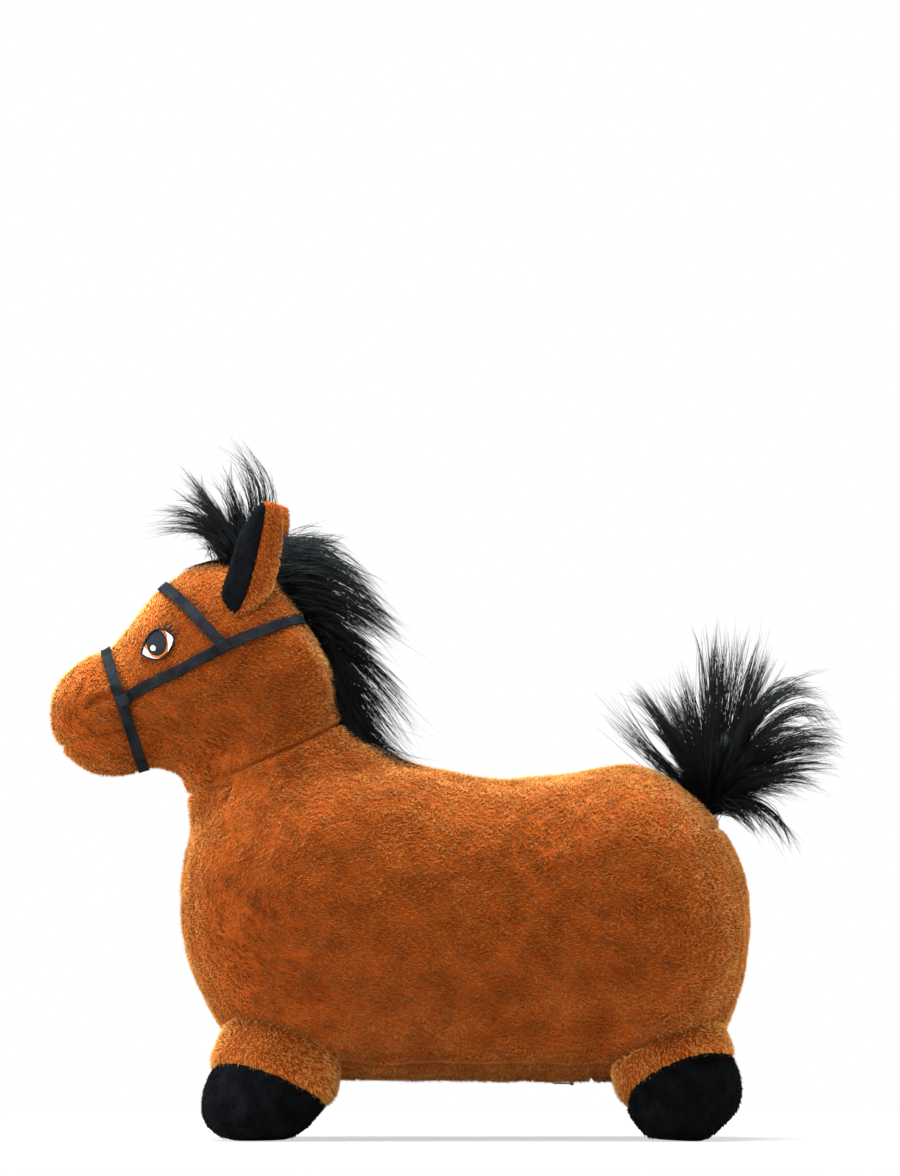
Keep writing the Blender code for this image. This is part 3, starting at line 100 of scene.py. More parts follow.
# Front x and z, back x and z, and width, as shares of the neck's length, height and width
NECK_START_SHARE = 0.005
NECK_SINK_SHARE = 0.67
NECK_SHARES = (
    (0.195, 0.000, 0.900, 0.333, 0.88),
    (0.033, 0.215, 1.000, 0.497, 1.00),
    (0.017, 0.349, 0.851, 0.605, 0.97),
    (0.000, 0.426, 0.705, 0.728, 0.93),
    (0.021, 0.538, 0.643, 0.862, 0.88),
    (0.091, 0.692, 0.585, 1.000, 0.74),
    (0.328, 0.923, 0.328, 0.923, 0.00),
)

# The same for the head, whose back is at a share of the neck's length
HEAD_BACK_SHARE = 0.614
HEAD_BASE_SHARE = 0.410
HEAD_SHARES = (
    (0.000, 0.325, 0.000, 0.325, 0.00),
    (0.005, 0.395, 0.009, 0.250, 0.27),
    (0.023, 0.456, 0.037, 0.175, 0.48),
    (0.066, 0.522, 0.091, 0.110, 0.64),
    (0.137, 0.588, 0.172, 0.061, 0.74),
    (0.204, 0.614, 0.268, 0.057, 0.77),
    (0.272, 0.706, 0.364, 0.092, 0.80),
    (0.350, 0.833, 0.464, 0.057, 0.87),
    (0.435, 0.925, 0.588, 0.009, 0.94),
    (0.552, 0.991, 0.730, 0.000, 0.99),
    (0.677, 1.000, 0.883, 0.066, 1.00),
    (0.790, 0.934, 0.979, 0.197, 0.96),
    (0.883, 0.811, 1.021, 0.342, 0.84),
    (0.950, 0.658, 1.021, 0.439, 0.56),
    (1.000, 0.553, 1.000, 0.553, 0.00),
)

# Front x and z, back x and z, width and sideways place of a leg, top to sole, as shares of the
# hoof's length, the belly's height, the hoof's width and the hoof's offset
FRONT_LEG_START_SHARE = 0.037
FRONT_LEG_SHARES = (
    (0.52, 3.16, 1.28, 2.27, 0.80, 0.69),
    (0.31, 2.45, 1.23, 1.55, 0.88, 0.74),
    (0.18, 1.91, 1.15, 1.02, 0.93, 0.81),
    (0.11, 1.46, 1.09, 0.70, 0.97, 0.88),
    (0.085, 1.25, 1.06, 0.59, 0.98, 0.91),
    (0.025, 0.96, 1.025, 0.48, 1.00, 0.95),
    (0.000, 0.66, 0.98, 0.375, 1.00, 0.98),
    (0.017, 0.357, 0.915, 0.214, 0.97, 1.00),
    (0.093, 0.143, 0.83, 0.089, 0.88, 1.00),
    (0.230, 0.000, 0.74, 0.000, 0.63, 1.00),
    (0.485, 0.000, 0.485, 0.000, 0.00, 1.00),
)
REAR_LEG_START_SHARE = 0.781
REAR_LEG_SHARES = (
    (-0.21, 2.48, 0.47, 3.55, 0.80, 0.69),
    (-0.18, 1.68, 0.69, 2.75, 0.88, 0.74),
    (-0.13, 1.20, 0.82, 2.04, 0.93, 0.81),
    (-0.04, 0.79, 0.88, 1.625, 0.97, 0.88),
    (0.010, 0.57, 0.915, 1.46, 0.98, 0.91),
    (0.010, 0.48, 0.966, 1.18, 1.00, 0.95),
    (0.034, 0.375, 0.983, 0.875, 1.00, 0.98),
    (0.085, 0.214, 0.95, 0.554, 0.97, 1.00),
    (0.153, 0.070, 0.84, 0.268, 0.88, 1.00),
    (0.254, 0.000, 0.68, 0.000, 0.63, 1.00),
    (0.467, 0.000, 0.467, 0.000, 0.00, 1.00),
)
SEAM_ROW = 4

# Height, front, back and depth of the ear's rings, as shares of its height, width and depth
EAR_PLACE_SHARES = (0.609, 0.750)
EAR_SHARES = (
    (-0.12, 0.26, 0.48, 0.40),
    (0.00, 0.20, 0.52, 0.72),
    (0.09, 0.06, 0.66, 0.92),
    (0.20, 0.00, 0.80, 1.00),
    (0.36, 0.08, 0.90, 0.96),
    (0.54, 0.18, 0.97, 0.82),
    (0.72, 0.29, 1.00, 0.64),
    (0.86, 0.47, 1.00, 0.46),
    (0.95, 0.61, 0.95, 0.28),
    (1.00, 0.76, 0.76, 0.00),
)
# Where the black lining starts at the ear's foot and ends at its tip, as shares of width and height
LINING_FOOT_SHARES = (0.23, 0.02)
LINING_TIP_SHARES = (0.68, 1.00)
LINING_DEPTH_SHARE = 0.80
LINING_TURN = math.radians(38)
# Bridle centre lines, as shares of the head's length and height
NOSEBAND_SHARES = ((0.17, 0.735), (0.202, 0.610), (0.330, 0.105), (0.36, -0.02))
HEADSTRAP_SHARES = (
    (0.25, 0.382),
    (0.300, 0.417),
    (0.357, 0.456),
    (0.456, 0.513),
    (0.556, 0.579),
    (0.655, 0.640),
    (0.755, 0.689),
    (0.854, 0.732),
    (0.925, 0.746),
    (1.080, 0.746),
)
BROWBAND_SHARES = (
    (0.343, 0.945),
    (0.400, 0.890),
    (0.456, 0.836),
    (0.506, 0.779),
    (0.556, 0.713),
    (0.625, 0.625),
)
NECK_SEAM_SHARES = ((0.535, 0.000), (1.050, 0.298))
FRONT_SPLIT_SHARE = 0.26
REAR_SPLIT_SHARE = 0.72
RUMP_TOP_SHARE = 0.80
CHEST_TOP_SHARE = 0.93
BELLY_TOP_SHARE = 0.40
BELLY_SHARE = 0.002
ZIP_START_SHARE = 0.31
VALVE_SHARE = 0.40
CHEEK_TACK_SHARES = (0.270, 0.388)
BROW_TACK_SHARES = (0.623, 0.622)
MOUTH_SHARES = ((0.00, 0.175), (0.30, 0.272))

# How the cloth and the hair lie on the frame
PILE_SINK = 0.0022
PANEL_WALL = 0.004
SEAM_DEPTH = 0.0028
SEAM_WIDTH = 0.0032
VOXEL = 0.0036
# Metres for each pixel of the photograph, and the pixels at x = 0 and at the floor
PIXEL = 0.00087
MIDDLE_PIXEL, FLOOR_PIXEL = 438, 1138

rng = np.random.default_rng(11)


def body_x(share):
    return BODY_FRONT + share * BODY_LENGTH


def body_z(share):
    return BELLY_HEIGHT + share * BODY_HEIGHT


def neck_x(share):
    return body_x(NECK_START_SHARE) + share * NECK_LENGTH


def neck_z(share):
    return body_z(NECK_SINK_SHARE) + share * NECK_HEIGHT


def head_x(share):
    return neck_x(HEAD_BACK_SHARE) + (share - 1) * HEAD_LENGTH


def head_z(share):
    return neck_z(HEAD_BASE_SHARE) + share * HEAD_HEIGHT


def head_points(shares):
    """Side-view points (x, z) of places given as shares of the head."""
    return np.array([(head_x(x), head_z(z)) for x, z in shares])


def spots(*pixels):
    """Side-view points (x, z) in metres of places in the photograph, from its pixels."""
    x, y = np.array(pixels, float).T
    return np.stack([(x - MIDDLE_PIXEL) * PIXEL, (FLOOR_PIXEL - y) * PIXEL], axis=1)


# Small tools for whole arrays


def unit(vectors):
    """Each vector divided by its length."""
    return vectors / np.maximum(np.linalg.norm(vectors, axis=-1, keepdims=True), 1e-12)


def along(rows, count):
    """Rows on a smooth curve through the given ones: cubic Hermite, spaced by chord length."""
    rows = np.array(rows, float)
    steps = np.linalg.norm(np.diff(rows, axis=0), axis=1)
    place = np.concatenate([[0], np.cumsum(steps)])
    slope = np.gradient(rows, place, axis=0)
    at = np.linspace(0, place[-1], count)
    k = np.clip(np.searchsorted(place, at, side="right") - 1, 0, len(rows) - 2)
    width = (place[k + 1] - place[k])[:, None]
    t = (at - place[k])[:, None] / width
    first = (2 * t**3 - 3 * t**2 + 1) * rows[k] + (t**3 - 2 * t**2 + t) * width * slope[k]
    last = (3 * t**2 - 2 * t**3) * rows[k + 1] + (t**3 - t**2) * width * slope[k + 1]
    return first + last


def ovals(rows, sides, squareness=2.0):
    """Grid of flat oval rings: middle + half * sign(cos)|cos|^(2/n), and the same with sin for y."""
    turn = np.arange(sides) * (2 * math.pi / sides)
    power = 2 / squareness
    cosine = np.sign(np.cos(turn)) * np.abs(np.cos(turn)) ** power
    sine = np.sign(np.sin(turn)) * np.abs(np.sin(turn)) ** power
    rows = np.array(rows)[:, :, None]
    x = (rows[:, 0] + rows[:, 2]) / 2 + (rows[:, 0] - rows[:, 2]) / 2 * cosine
    z = (rows[:, 1] + rows[:, 3]) / 2 + (rows[:, 1] - rows[:, 3]) / 2 * cosine
    y = rows[:, 5] + np.maximum(rows[:, 4], 0) * sine
    return np.stack([x, y, z], axis=2)


def grid_faces(rows, columns, closed=False):
    """Triangles between the rows of a grid of points; a closed grid's last column joins its first."""
    index = np.arange(rows * columns).reshape(rows, columns)
    if closed:
        index = np.concatenate([index, index[:, :1]], axis=1)
    a, b, c, d = index[:-1, :-1], index[:-1, 1:], index[1:, 1:], index[1:, :-1]
    return np.concatenate([np.stack([a, b, c], -1).reshape(-1, 3), np.stack([a, c, d], -1).reshape(-1, 3)])


def tube(grid):
    """Vertices and outward triangles of rings joined into a closed skin; the ends get a middle point."""
    count, sides = grid.shape[:2]
    index = np.arange(count * sides).reshape(count, sides)
    points = np.concatenate([grid.reshape(-1, 3), grid[:1].mean(axis=1), grid[-1:].mean(axis=1)])
    first, last = index[0], index[-1]
    low, high = np.full(sides, len(points) - 2), np.full(sides, len(points) - 1)
    start = np.stack([first, low, np.roll(first, -1)], axis=-1)
    end = np.stack([last, np.roll(last, -1), high], axis=-1)
    return tidy(points, np.concatenate([grid_faces(count, sides, True), start, end]))


def tidy(points, triangles):
    """Welds points at one place, drops flat triangles and unused points, and faces the skin out."""
    keys = np.round(points / 1e-6).astype(np.int64)
    _, first, same = np.unique(keys, axis=0, return_index=True, return_inverse=True)
    points, triangles = points[first], same.reshape(-1)[triangles]
    a, b, c = triangles.T
    triangles = triangles[(a != b) & (b != c) & (c != a)]
    triangles, points = part_of(triangles, slice(None), points)
    corners = points[triangles]
    volume = np.sum(corners[:, 0] * np.cross(corners[:, 1], corners[:, 2]))
    return points, triangles if volume > 0 else triangles[:, ::-1]


def normals_of(points, triangles):
    """Unit normal at each point: the sum of its triangles' area normals."""
    corners = points[triangles]
    faces = np.cross(corners[:, 1] - corners[:, 0], corners[:, 2] - corners[:, 0])
    total = np.zeros_like(points)
    for corner in range(3):
        np.add.at(total, triangles[:, corner], faces)
    return unit(total)


def bell(distance, width):
    """1 at no distance, falling off smoothly: exp(-(distance / width)^2)."""
    return np.exp(-((distance / width) ** 2))


def nearest(points, targets, block=1500):
    """Index of the nearest target of each point, worked out in blocks."""
    found = []
    for start in range(0, len(points), block):
        gaps = points[start : start + block, None, :] - targets[None]
        found.append(np.argmin((gaps**2).sum(axis=2), axis=1))
    return np.concatenate(found)


def wander(points, size, seed, count=10):
    """A smooth random field from -1 to 1: the mean of sine waves whose length is about the size."""
    source = np.random.default_rng(seed)
    waves = source.normal(size=(count, 3)) * (2 * math.pi / size / 1.7)
    phase = source.uniform(0, 2 * math.pi, count)
    return np.clip(np.sin(points @ waves.T + phase).sum(axis=1) / math.sqrt(count / 2), -2, 2) / 2


def part_of(triangles, chosen, *values):
    """The chosen triangles as a surface of their own: triangles, then each value at the points they use."""
    used, renumbered = np.unique(triangles[chosen], return_inverse=True)
    return renumbered.reshape(-1, 3), *(value[used] for value in values)


def edges_of(triangles):
    """The directed edges of all triangles: first sides, second sides, third sides."""
    return np.concatenate([triangles[:, [0, 1]], triangles[:, [1, 2]], triangles[:, [2, 0]]])


def rim_edges(triangles):
    """Directed edges that only one triangle has."""
    edges = edges_of(triangles)
    _, first, count = np.unique(np.sort(edges, axis=1), axis=0, return_index=True, return_counts=True)
    return edges[first[count == 1]]


def walled(points, triangles, wall, normals):
    """A closed sheet: the surface, the same one moved in along its normals, and a rim between."""
    count = len(points)
    rim = rim_edges(triangles)
    a, b = rim.T
    sides = np.concatenate(
        [np.stack([b, a, a + count], axis=1), np.stack([b, a + count, b + count], axis=1)]
    )
    both = np.concatenate([points, points - wall * normals])
    return both, np.concatenate([triangles, triangles[:, ::-1] + count, sides])


def linear(code):
    """Linear colour of an sRGB hex value."""
    values = np.array([int(code[i : i + 2], 16) for i in (1, 3, 5)]) / 255
    values = np.where(values <= 0.04045, values / 12.92, ((values + 0.055) / 1.055) ** 2.4)
    return (*values, 1.0)


def linked(name, data):
    """A new object of the scene."""
    made = bpy.data.objects.new(name, data)
    bpy.context.scene.collection.objects.link(made)
    return made


def piece(name, points, triangles, look, body, nodes=(), slot=None, **values):
    """A finished piece: its mesh, material, attributes, body and the solids that it stands for."""
    mesh = bpy.data.meshes.new(name)
    mesh.vertices.add(len(points))
    mesh.vertices.foreach_set("co", np.asarray(points, np.float32).ravel())
    mesh.loops.add(triangles.size)
    mesh.loops.foreach_set("vertex_index", np.asarray(triangles, np.int32).ravel())
    mesh.polygons.add(len(triangles))
    mesh.polygons.foreach_set("loop_start", np.arange(0, triangles.size, 3, dtype=np.int32))
    mesh.polygons.foreach_set("use_smooth", np.full(len(triangles), True))
    mesh.update()
    for title, numbers in values.items():
        attribute = mesh.attributes.new(title, "FLOAT", "POINT")
        attribute.data.foreach_set("value", np.asarray(numbers, np.float32))
    mesh.validate()
    made = linked(name, mesh)
    mesh.materials.append(look)
    if isinstance(body, str):
        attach(made, body)
    else:
        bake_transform(made)
    if nodes:
        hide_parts(*nodes)
    return made


def merged(*parts):
    """Several groups of points, triangles and any further values as one."""
    offset, points, triangles, values = 0, [], [], []
    for group in parts:
        points.append(group[0])
        triangles.append(group[1] + offset)
        values.append(group[2:])
        offset += len(group[0])
    columns = [np.concatenate(column) for column in zip(*values)]
    return np.concatenate(points), np.concatenate(triangles), *columns


# Hair and pile

THIRDS = (0, 2 * math.pi / 3, 4 * math.pi / 3)


def even(surface, tip, shade):
    """A surface as part of a furred piece, with one tip and one shade all over."""
    count = len(surface[0])
    return *surface[:2], np.full(count, tip), np.full(count, shade)


def furred(name, parts, look, body, nodes, slot):
    """Fibres and the surface under them as one piece: tip is the height along a fibre."""
    points, triangles, tip, shade = merged(*parts)
    return piece(name, points, triangles, look, body, nodes, slot, tip=tip, shade=shade)


def scattered(points, triangles, spacing):
    """Random places on a surface, one for each spacing squared, with their normals."""
    normals = normals_of(points, triangles)
    corners = points[triangles]
    doubled = np.cross(corners[:, 1] - corners[:, 0], corners[:, 2] - corners[:, 0])
    areas = np.linalg.norm(doubled, axis=1) / 2
    count = int(areas.sum() / spacing**2)
    chosen = np.searchsorted(np.cumsum(areas), rng.uniform(0, areas.sum(), count))
    chosen = np.minimum(chosen, len(triangles) - 1)
    a, b = rng.uniform(size=(2, count, 1))
    over = a + b > 1
    a, b = np.where(over, 1 - a, a), np.where(over, 1 - b, b)
    weights = (1 - a - b, a, b)
    places = sum(w * points[triangles[chosen, i]] for i, w in enumerate(weights))
    ways = sum(w * normals[triangles[chosen, i]] for i, w in enumerate(weights))
    return places, unit(ways)


def clumps(places, size, seed):
    """For each place, the middle of the jittered cell that it lies in, and a random number of that cell."""
    cell = np.floor(places / size).astype(np.int64)
    _, own_cell = np.unique(cell, axis=0, return_inverse=True)
    own_cell = own_cell.reshape(-1)
    source = np.random.default_rng(seed)
    jitter = source.uniform(-0.38, 0.38, (own_cell.max() + 1, 3))
    tint = source.uniform(0, 1, own_cell.max() + 1)
    return (cell + 0.5 + jitter[own_cell]) * size, tint[own_cell]


RUFFLE, TUFT, GATHER = 0.30, 0.0018, 0.55
SEAM_PUSH, SEAM_PUSH_WIDTH, SEAM_PARTING = 2.2, 0.0034, 0.0011


def pile(places, normals, flow, length, radius, lean=46, gap=None, away=None):
    """Short closed fibres: three-sided cones that lean along the flow, their tips drawn into tufts."""
    count = len(places)
    wave = np.stack([wander(places, 0.045, seed) for seed in (1, 2, 3)], axis=1)
    fine = np.stack([wander(places, 0.008, seed) for seed in (4, 5, 6)], axis=1)
    # Wide and fine ruffles turn the fibres, and a seam pushes those beside it away
    way = np.asarray(flow) + RUFFLE * (1.3 * wave + 1.2 * fine) + 0.22 * rng.normal(size=(count, 3))
    if gap is not None:
        way = way + SEAM_PUSH * bell(gap, SEAM_PUSH_WIDTH)[:, None] * away
    way = unit(way - normals * np.sum(way * normals, axis=1, keepdims=True))
    angle = np.radians(lean + 14 * wander(places, 0.024, 7) + 8 * rng.normal(size=count))[:, None]
    direction = normals * np.cos(angle) + way * np.sin(angle)
    reach = length * rng.uniform(0.72, 1.15, count)
    middle, tint = clumps(places, TUFT, 8)
    # Next to a seam the fibres are shorter, and their tufts darker as painted shade in the seam's crease
    if gap is not None:
        parted = bell(gap, SEAM_PARTING)
        reach = reach * (1 - 0.8 * parted)
        tint = tint * (1 - parted)
    reach = reach[:, None]
    middle = middle - normals * np.sum((middle - places) * normals, axis=1, keepdims=True)
    tips = places + direction * reach + GATHER * (middle - places)
    side = unit(np.cross(direction, normals + 0.01))
    other = np.cross(direction, side)
    roots = places - normals * length * 0.15
    ring = [
        roots + radius * (math.cos(turn) * side + math.sin(turn) * other)
        for turn in THIRDS
    ]
    points = np.stack([*ring, tips], axis=1)
    base = (np.arange(count) * 4)[:, None, None]
    faces = np.array([[0, 2, 1], [0, 1, 3], [1, 2, 3], [2, 0, 3]])
    height = np.tile([0.0, 0.0, 0.0, 1.0], count)
    shade = np.repeat(0.65 * tint + 0.35 * rng.uniform(0, 1, count), 4)
    return points.reshape(-1, 3), (base + faces).reshape(-1, 3), height, shade


def strands(paths, radius, shades):
    """Long closed hairs: three-sided tubes along their paths, thinning to a point."""
    count, steps = paths.shape[:2]
    tangents = unit(np.gradient(paths, axis=1))
    side = unit(np.cross(tangents, np.array([0.31, 0.87, 0.23])))
    other = np.cross(tangents, side)
    share = np.linspace(0, 1, steps)[None, :-1, None]
    thick = np.asarray(radius).reshape(-1, 1, 1) * (1 - share) ** 0.45
    body = np.stack(
        [
            paths[:, :-1]
            + thick * (math.cos(turn) * side[:, :-1] + math.sin(turn) * other[:, :-1])
            for turn in THIRDS
        ],
        axis=2,
    )
    per = (steps - 1) * 3 + 1
    points = np.concatenate([body.reshape(count, -1, 3), paths[:, -1:]], axis=1)
    ring, k = np.divmod(np.arange((steps - 2) * 3), 3)
    a, b = ring * 3 + k, ring * 3 + (k + 1) % 3
    last = (steps - 2) * 3 + np.arange(3)
    faces = np.concatenate(
        [
            [[0, 2, 1]],
            np.stack([a, b, b + 3], axis=1),
            np.stack([a, b + 3, a + 3], axis=1),
            np.stack([last, np.roll(last, -1), np.full(3, per - 1)], axis=1),
        ]
    )
    triangles = (np.arange(count) * per)[:, None, None] + faces
    height = np.tile(np.append(np.repeat(np.linspace(0, 1, steps)[:-1], 3), 1.0), count)
    return points.reshape(-1, 3), triangles.reshape(-1, 3), height, np.repeat(shades, per)


def mirrored(surface):
    """The same surface on the horse's right side."""
    base, faces, *normals = surface
    flip = np.array([1, -1, 1])
    return (base * flip, faces[:, ::-1], *(n * flip for n in normals))


def on_each_side(surface):
    """The name of each side of the horse, with the surface that belongs there."""
    return ("left", surface), ("right", mirrored(surface))


# Materials


def cleared(owner):
    """The material or world, with no nodes yet."""
    owner.use_nodes = True
    owner.node_tree.nodes.clear()
    return owner


def new_look(name):
    """A node material with its output and principled shader."""
    look = cleared(bpy.data.materials.new(name))
    shader = node(look, "ShaderNodeBsdfPrincipled")
    node(look, "ShaderNodeOutputMaterial", {"Surface": (shader, "BSDF")})
    return look, shader


def node(look, kind, inputs=None, **settings):
    """Adds a node: its settings, and for each input a value or a (node, output) to link."""
    made = look.node_tree.nodes.new(kind)
    for title, value in settings.items():
        setattr(made, title, value)
    return fed(look, made, inputs or {})


def fed(look, made, inputs):
    """Gives each input of a node its value, or links it to a (node, output)."""
    for title, value in inputs.items():
        if isinstance(value, tuple) and isinstance(value[0], bpy.types.Node):
            look.node_tree.links.new(value[0].outputs[value[1]], made.inputs[title])
        else:
            made.inputs[title].default_value = value
    return made


def mixed(look, factor, low, high, blend="MIX"):
    """A colour mix; each of the three is a value or a (node, output)."""
    inputs = {0: factor, 6: low, 7: high}
    return node(look, "ShaderNodeMix", inputs, data_type="RGBA", blend_type=blend), 2


def ramp(look, factor, low, high, start=0.0, end=1.0):
    """Factor mapped from one range to another, clamped."""
    inputs = {"Value": factor, "From Min": start, "From Max": end, "To Min": low, "To Max": high}
    return node(look, "ShaderNodeMapRange", inputs), "Result"


def coloured(look, factor, *stops):
    """Colour ramp with the given (place, hex colour) stops."""
    made = node(look, "ShaderNodeValToRGB", {"Fac": factor})
    elements = made.color_ramp.elements
    elements[0].position, elements[0].color = stops[0][0], linear(stops[0][1])
    elements[1].position, elements[1].color = stops[-1][0], linear(stops[-1][1])
    for place, code in stops[1:-1]:
        elements.new(place).color = linear(code)
    return made, "Color"


def noise(look, size, detail=2.0, roughness=0.5):
    """Noise over the object's own coordinates; size is the length of a patch in metres."""
    place = node(look, "ShaderNodeTexCoord"), "Object"
    inputs = {"Vector": place, "Scale": 1 / size, "Detail": detail, "Roughness": roughness}
    return node(look, "ShaderNodeTexNoise", inputs), "Fac"


def own(look, title):
    """A number that the piece carries at each of its points."""
    return node(look, "ShaderNodeAttribute", attribute_name=title), "Fac"


def bump(look, height, strength, depth):
    """Fine relief for the shader's normal; depth is in metres."""
    inputs = {"Height": height, "Strength": strength, "Distance": depth}
    return node(look, "ShaderNodeBump", inputs), "Normal"


def plush_look(name, root, middle, tip):
    """Short pile: dark at the root as painted shade deep in the pile, lighter at the tip, each tuft a little
    different, in faint patches.
    """
    look, shader = new_look(name)
    # The root's dark colour is painted shade deep in the pile
    colour = coloured(look, own(look, "tip"), (0.0, root), (0.5, middle), (1.0, tip))
    tuft = coloured(look, own(look, "shade"), (0.0, "#B6A99E"), (0.5, "#E6DFD9"), (1.0, "#FFFFFF"))
    colour = mixed(look, 1.0, colour, tuft, "MULTIPLY")
    patches = noise(look, 0.030, detail=3.0, roughness=0.6)
    worn = coloured(look, patches, (0.36, "#DDD5CE"), (0.62, "#FFFFFF"))
    colour = mixed(look, 1.0, colour, worn, "MULTIPLY")
    sheen = {"Sheen Weight": 0.12, "Sheen Roughness": 0.45, "Sheen Tint": linear("#E6FFB0")}
    fed(look, shader, {"Base Color": colour, "Roughness": 0.6, "Specular IOR Level": 0.0, **sheen})
    return look


def velour_look(name, dark, light):
    """Black velour: a very short nap that brightens in soft patches where it is brushed over."""
    look, shader = new_look(name)
    patches = noise(look, 0.016, detail=2.0)
    nap = noise(look, 0.0006, detail=1.0)
    colour = coloured(look, patches, (0.35, dark), (0.75, light))
    colour = mixed(look, 0.35, colour, coloured(look, nap, (0.3, "#000000"), (0.8, light)))
    relief = bump(look, nap, 0.6, 0.0006)
    fed(look, shader, {"Base Color": colour, "Normal": relief, "Roughness": 0.8, "Specular IOR Level": 0.0})
    fed(look, shader, {"Sheen Weight": 0.008, "Sheen Roughness": 0.35})
    return look


def hair_look(name, dark, light):
    """Long synthetic hair: smooth glossy fibres, each a little different, darker at the root as painted shade.
    """
    look, shader = new_look(name)
    shade = own(look, "shade")
    colour = coloured(look, shade, (0.0, dark), (0.8, light), (1.0, light))
    # Painted shade: the hair is darker towards its root
    painted_root_shade = coloured(look, own(look, "tip"), (0.0, "#8C8C8C"), (0.4, "#FFFFFF"))
    colour = mixed(look, 1.0, colour, painted_root_shade, "MULTIPLY")
    rough = ramp(look, shade, 0.5, 0.65)
    fed(look, shader, {"Base Color": colour, "Roughness": rough, "Specular IOR Level": 0.06})
    return look


def plain_look(name, dark, light, size, rough=0.5, relief=0.3, metallic=0.0, gloss=0.5):
    """A material with soft colour patches and fine relief of one size."""
    look, shader = new_look(name)
    grain = noise(look, size, detail=3.0)
    colour = coloured(look, grain, (0.3, dark), (0.7, light))
    worn = ramp(look, grain, rough - 0.08, rough + 0.08)
    finish = {"Roughness": worn, "Metallic": metallic, "Specular IOR Level": gloss}
    fed(look, shader, {"Base Color": colour, "Normal": bump(look, grain, relief, size / 4), **finish})
    return look


def place_along(look, way):
    """A coordinate in metres: the piece's own attribute, or one axis of its own object coordinates."""
    if isinstance(way, str):
        return own(look, way)
    axes = node(look, "ShaderNodeSeparateXYZ", {0: (node(look, "ShaderNodeTexCoord"), "Object")})
    return axes, "XYZ"[way]


def reckoned(look, operation, *inputs):
    """One step of arithmetic on values or (node, output) pairs."""
    return node(look, "ShaderNodeMath", dict(enumerate(inputs)), operation=operation), 0


def wave(look, place, pitch):
    """A sine over a coordinate, one period for each pitch."""
    return reckoned(look, "SINE", reckoned(look, "MULTIPLY", place, 2 * math.pi / pitch))


def woven_look(name, dark, light, pitch, first, second, cross_pitch):
    """Ribs one pitch apart along the first way, crossed by yarns along the second, as in a tape; the colour is
    painted darker in the hollows and lighter on the crests, as painted shade and highlight.
    """
    look, shader = new_look(name)
    weave = wave(look, place_along(look, first), pitch)
    if second is not None:
        over = wave(look, place_along(look, second), cross_pitch)
        weave = reckoned(look, "MULTIPLY", weave, over)
    height = ramp(look, weave, 0.0, 1.0, -1.0, 1.0)
    # Painted shade in the weave's hollows, painted highlight on its crests
    colour = coloured(look, height, (0.1, dark), (0.9, light))
    worn = coloured(look, noise(look, 0.012), (0.3, "#B8B8B8"), (0.7, "#FFFFFF"))
    colour = mixed(look, 1.0, colour, worn, "MULTIPLY")
    inputs = {"Normal": bump(look, height, 0.3, pitch / 8), "Roughness": ramp(look, height, 0.6, 0.8)}
    fed(look, shader, {"Base Color": colour, "Specular IOR Level": 0.0, **inputs})
    return look


PLUSH = plush_look("brown short pile plush", "#772D0A", "#A04A15", "#DC9A52")
VELOUR = velour_look("black velour", "#050506", "#0E0E10")
HAIR = hair_look("black long pile hair", "#030304", "#0C0C0D")
RIBBON = woven_look("black woven polyester ribbon", "#0D0D0F", "#222225", 0.0016, "length", "breadth",
                    0.0013)
THREAD_BLACK, THREAD_WHITE, THREAD_AMBER = (
    plain_look(colour + " embroidery thread", dark, light, 0.0006, 0.7, 0.3, gloss=0.0)
    for colour, dark, light in (
        ("black", "#0A0A0C", "#222226"),
        ("white", "#D0CDC6", "#EAE8E2"),
        ("orange brown", "#8E3F12", "#B85A20"),
    )
)
VINYL = plain_look("grey PVC bladder vinyl", "#8F9291", "#A5A8A7", 0.02, 0.35, 0.1)
CLEAR = plain_look("clear PVC valve vinyl", "#B9BFC1", "#D5DADB", 0.01, 0.25, 0.1)
FIBRE = plain_look("white polyester stuffing", "#D9D7D1", "#EFEDE8", 0.004, 0.9, 0.6)
TAPE = woven_look("brown woven polyester zip tape", "#4A2A16", "#6B3D20", 0.0009, 0, 1, 0.0007)
CHAIN = woven_look("brown nylon zip coil", "#3A2212", "#7A4A28", 0.0016, 0, None, 0.0016)
ZINC = plain_look("painted zinc", "#30251D", "#40332A", 0.003, 0.35, 0.1, 0.6)


# The skin of body, neck and head


def blender_object(name, points, triangles):
    """A bare object for Blender's own tools to work on."""
    mesh = bpy.data.meshes.new(name)
    mesh.from_pydata(np.asarray(points).tolist(), [], np.asarray(triangles).tolist())
    return linked(name, mesh)


def arrays(obj):
    """Points and triangles of an object with its modifiers applied."""
    shown = obj.evaluated_get(bpy.context.evaluated_depsgraph_get())
    mesh = shown.to_mesh()
    mesh.calc_loop_triangles()
    points = np.empty(len(mesh.vertices) * 3)
    mesh.vertices.foreach_get("co", points)
    triangles = np.empty(len(mesh.loop_triangles) * 3, np.int32)
    mesh.loop_triangles.foreach_get("vertices", triangles)
    shown.to_mesh_clear()
    return points.reshape(-1, 3), triangles.reshape(-1, 3)


def fused(parts, voxel, rounds):
    """One smooth skin round several closed shapes, by voxels and a few rounds of smoothing."""
    points, triangles = merged(*[(p, t, np.zeros(len(p))) for p, t in parts])[:2]
    made = blender_object("rough", points, triangles)
    remesh = made.modifiers.new("voxels", "REMESH")
    remesh.mode = "VOXEL"
    remesh.voxel_size = voxel
    smooth = made.modifiers.new("smooth", "SMOOTH")
    smooth.factor = 0.5
    smooth.iterations = rounds
    result = arrays(made)
    bpy.data.objects.remove(made)
    return result


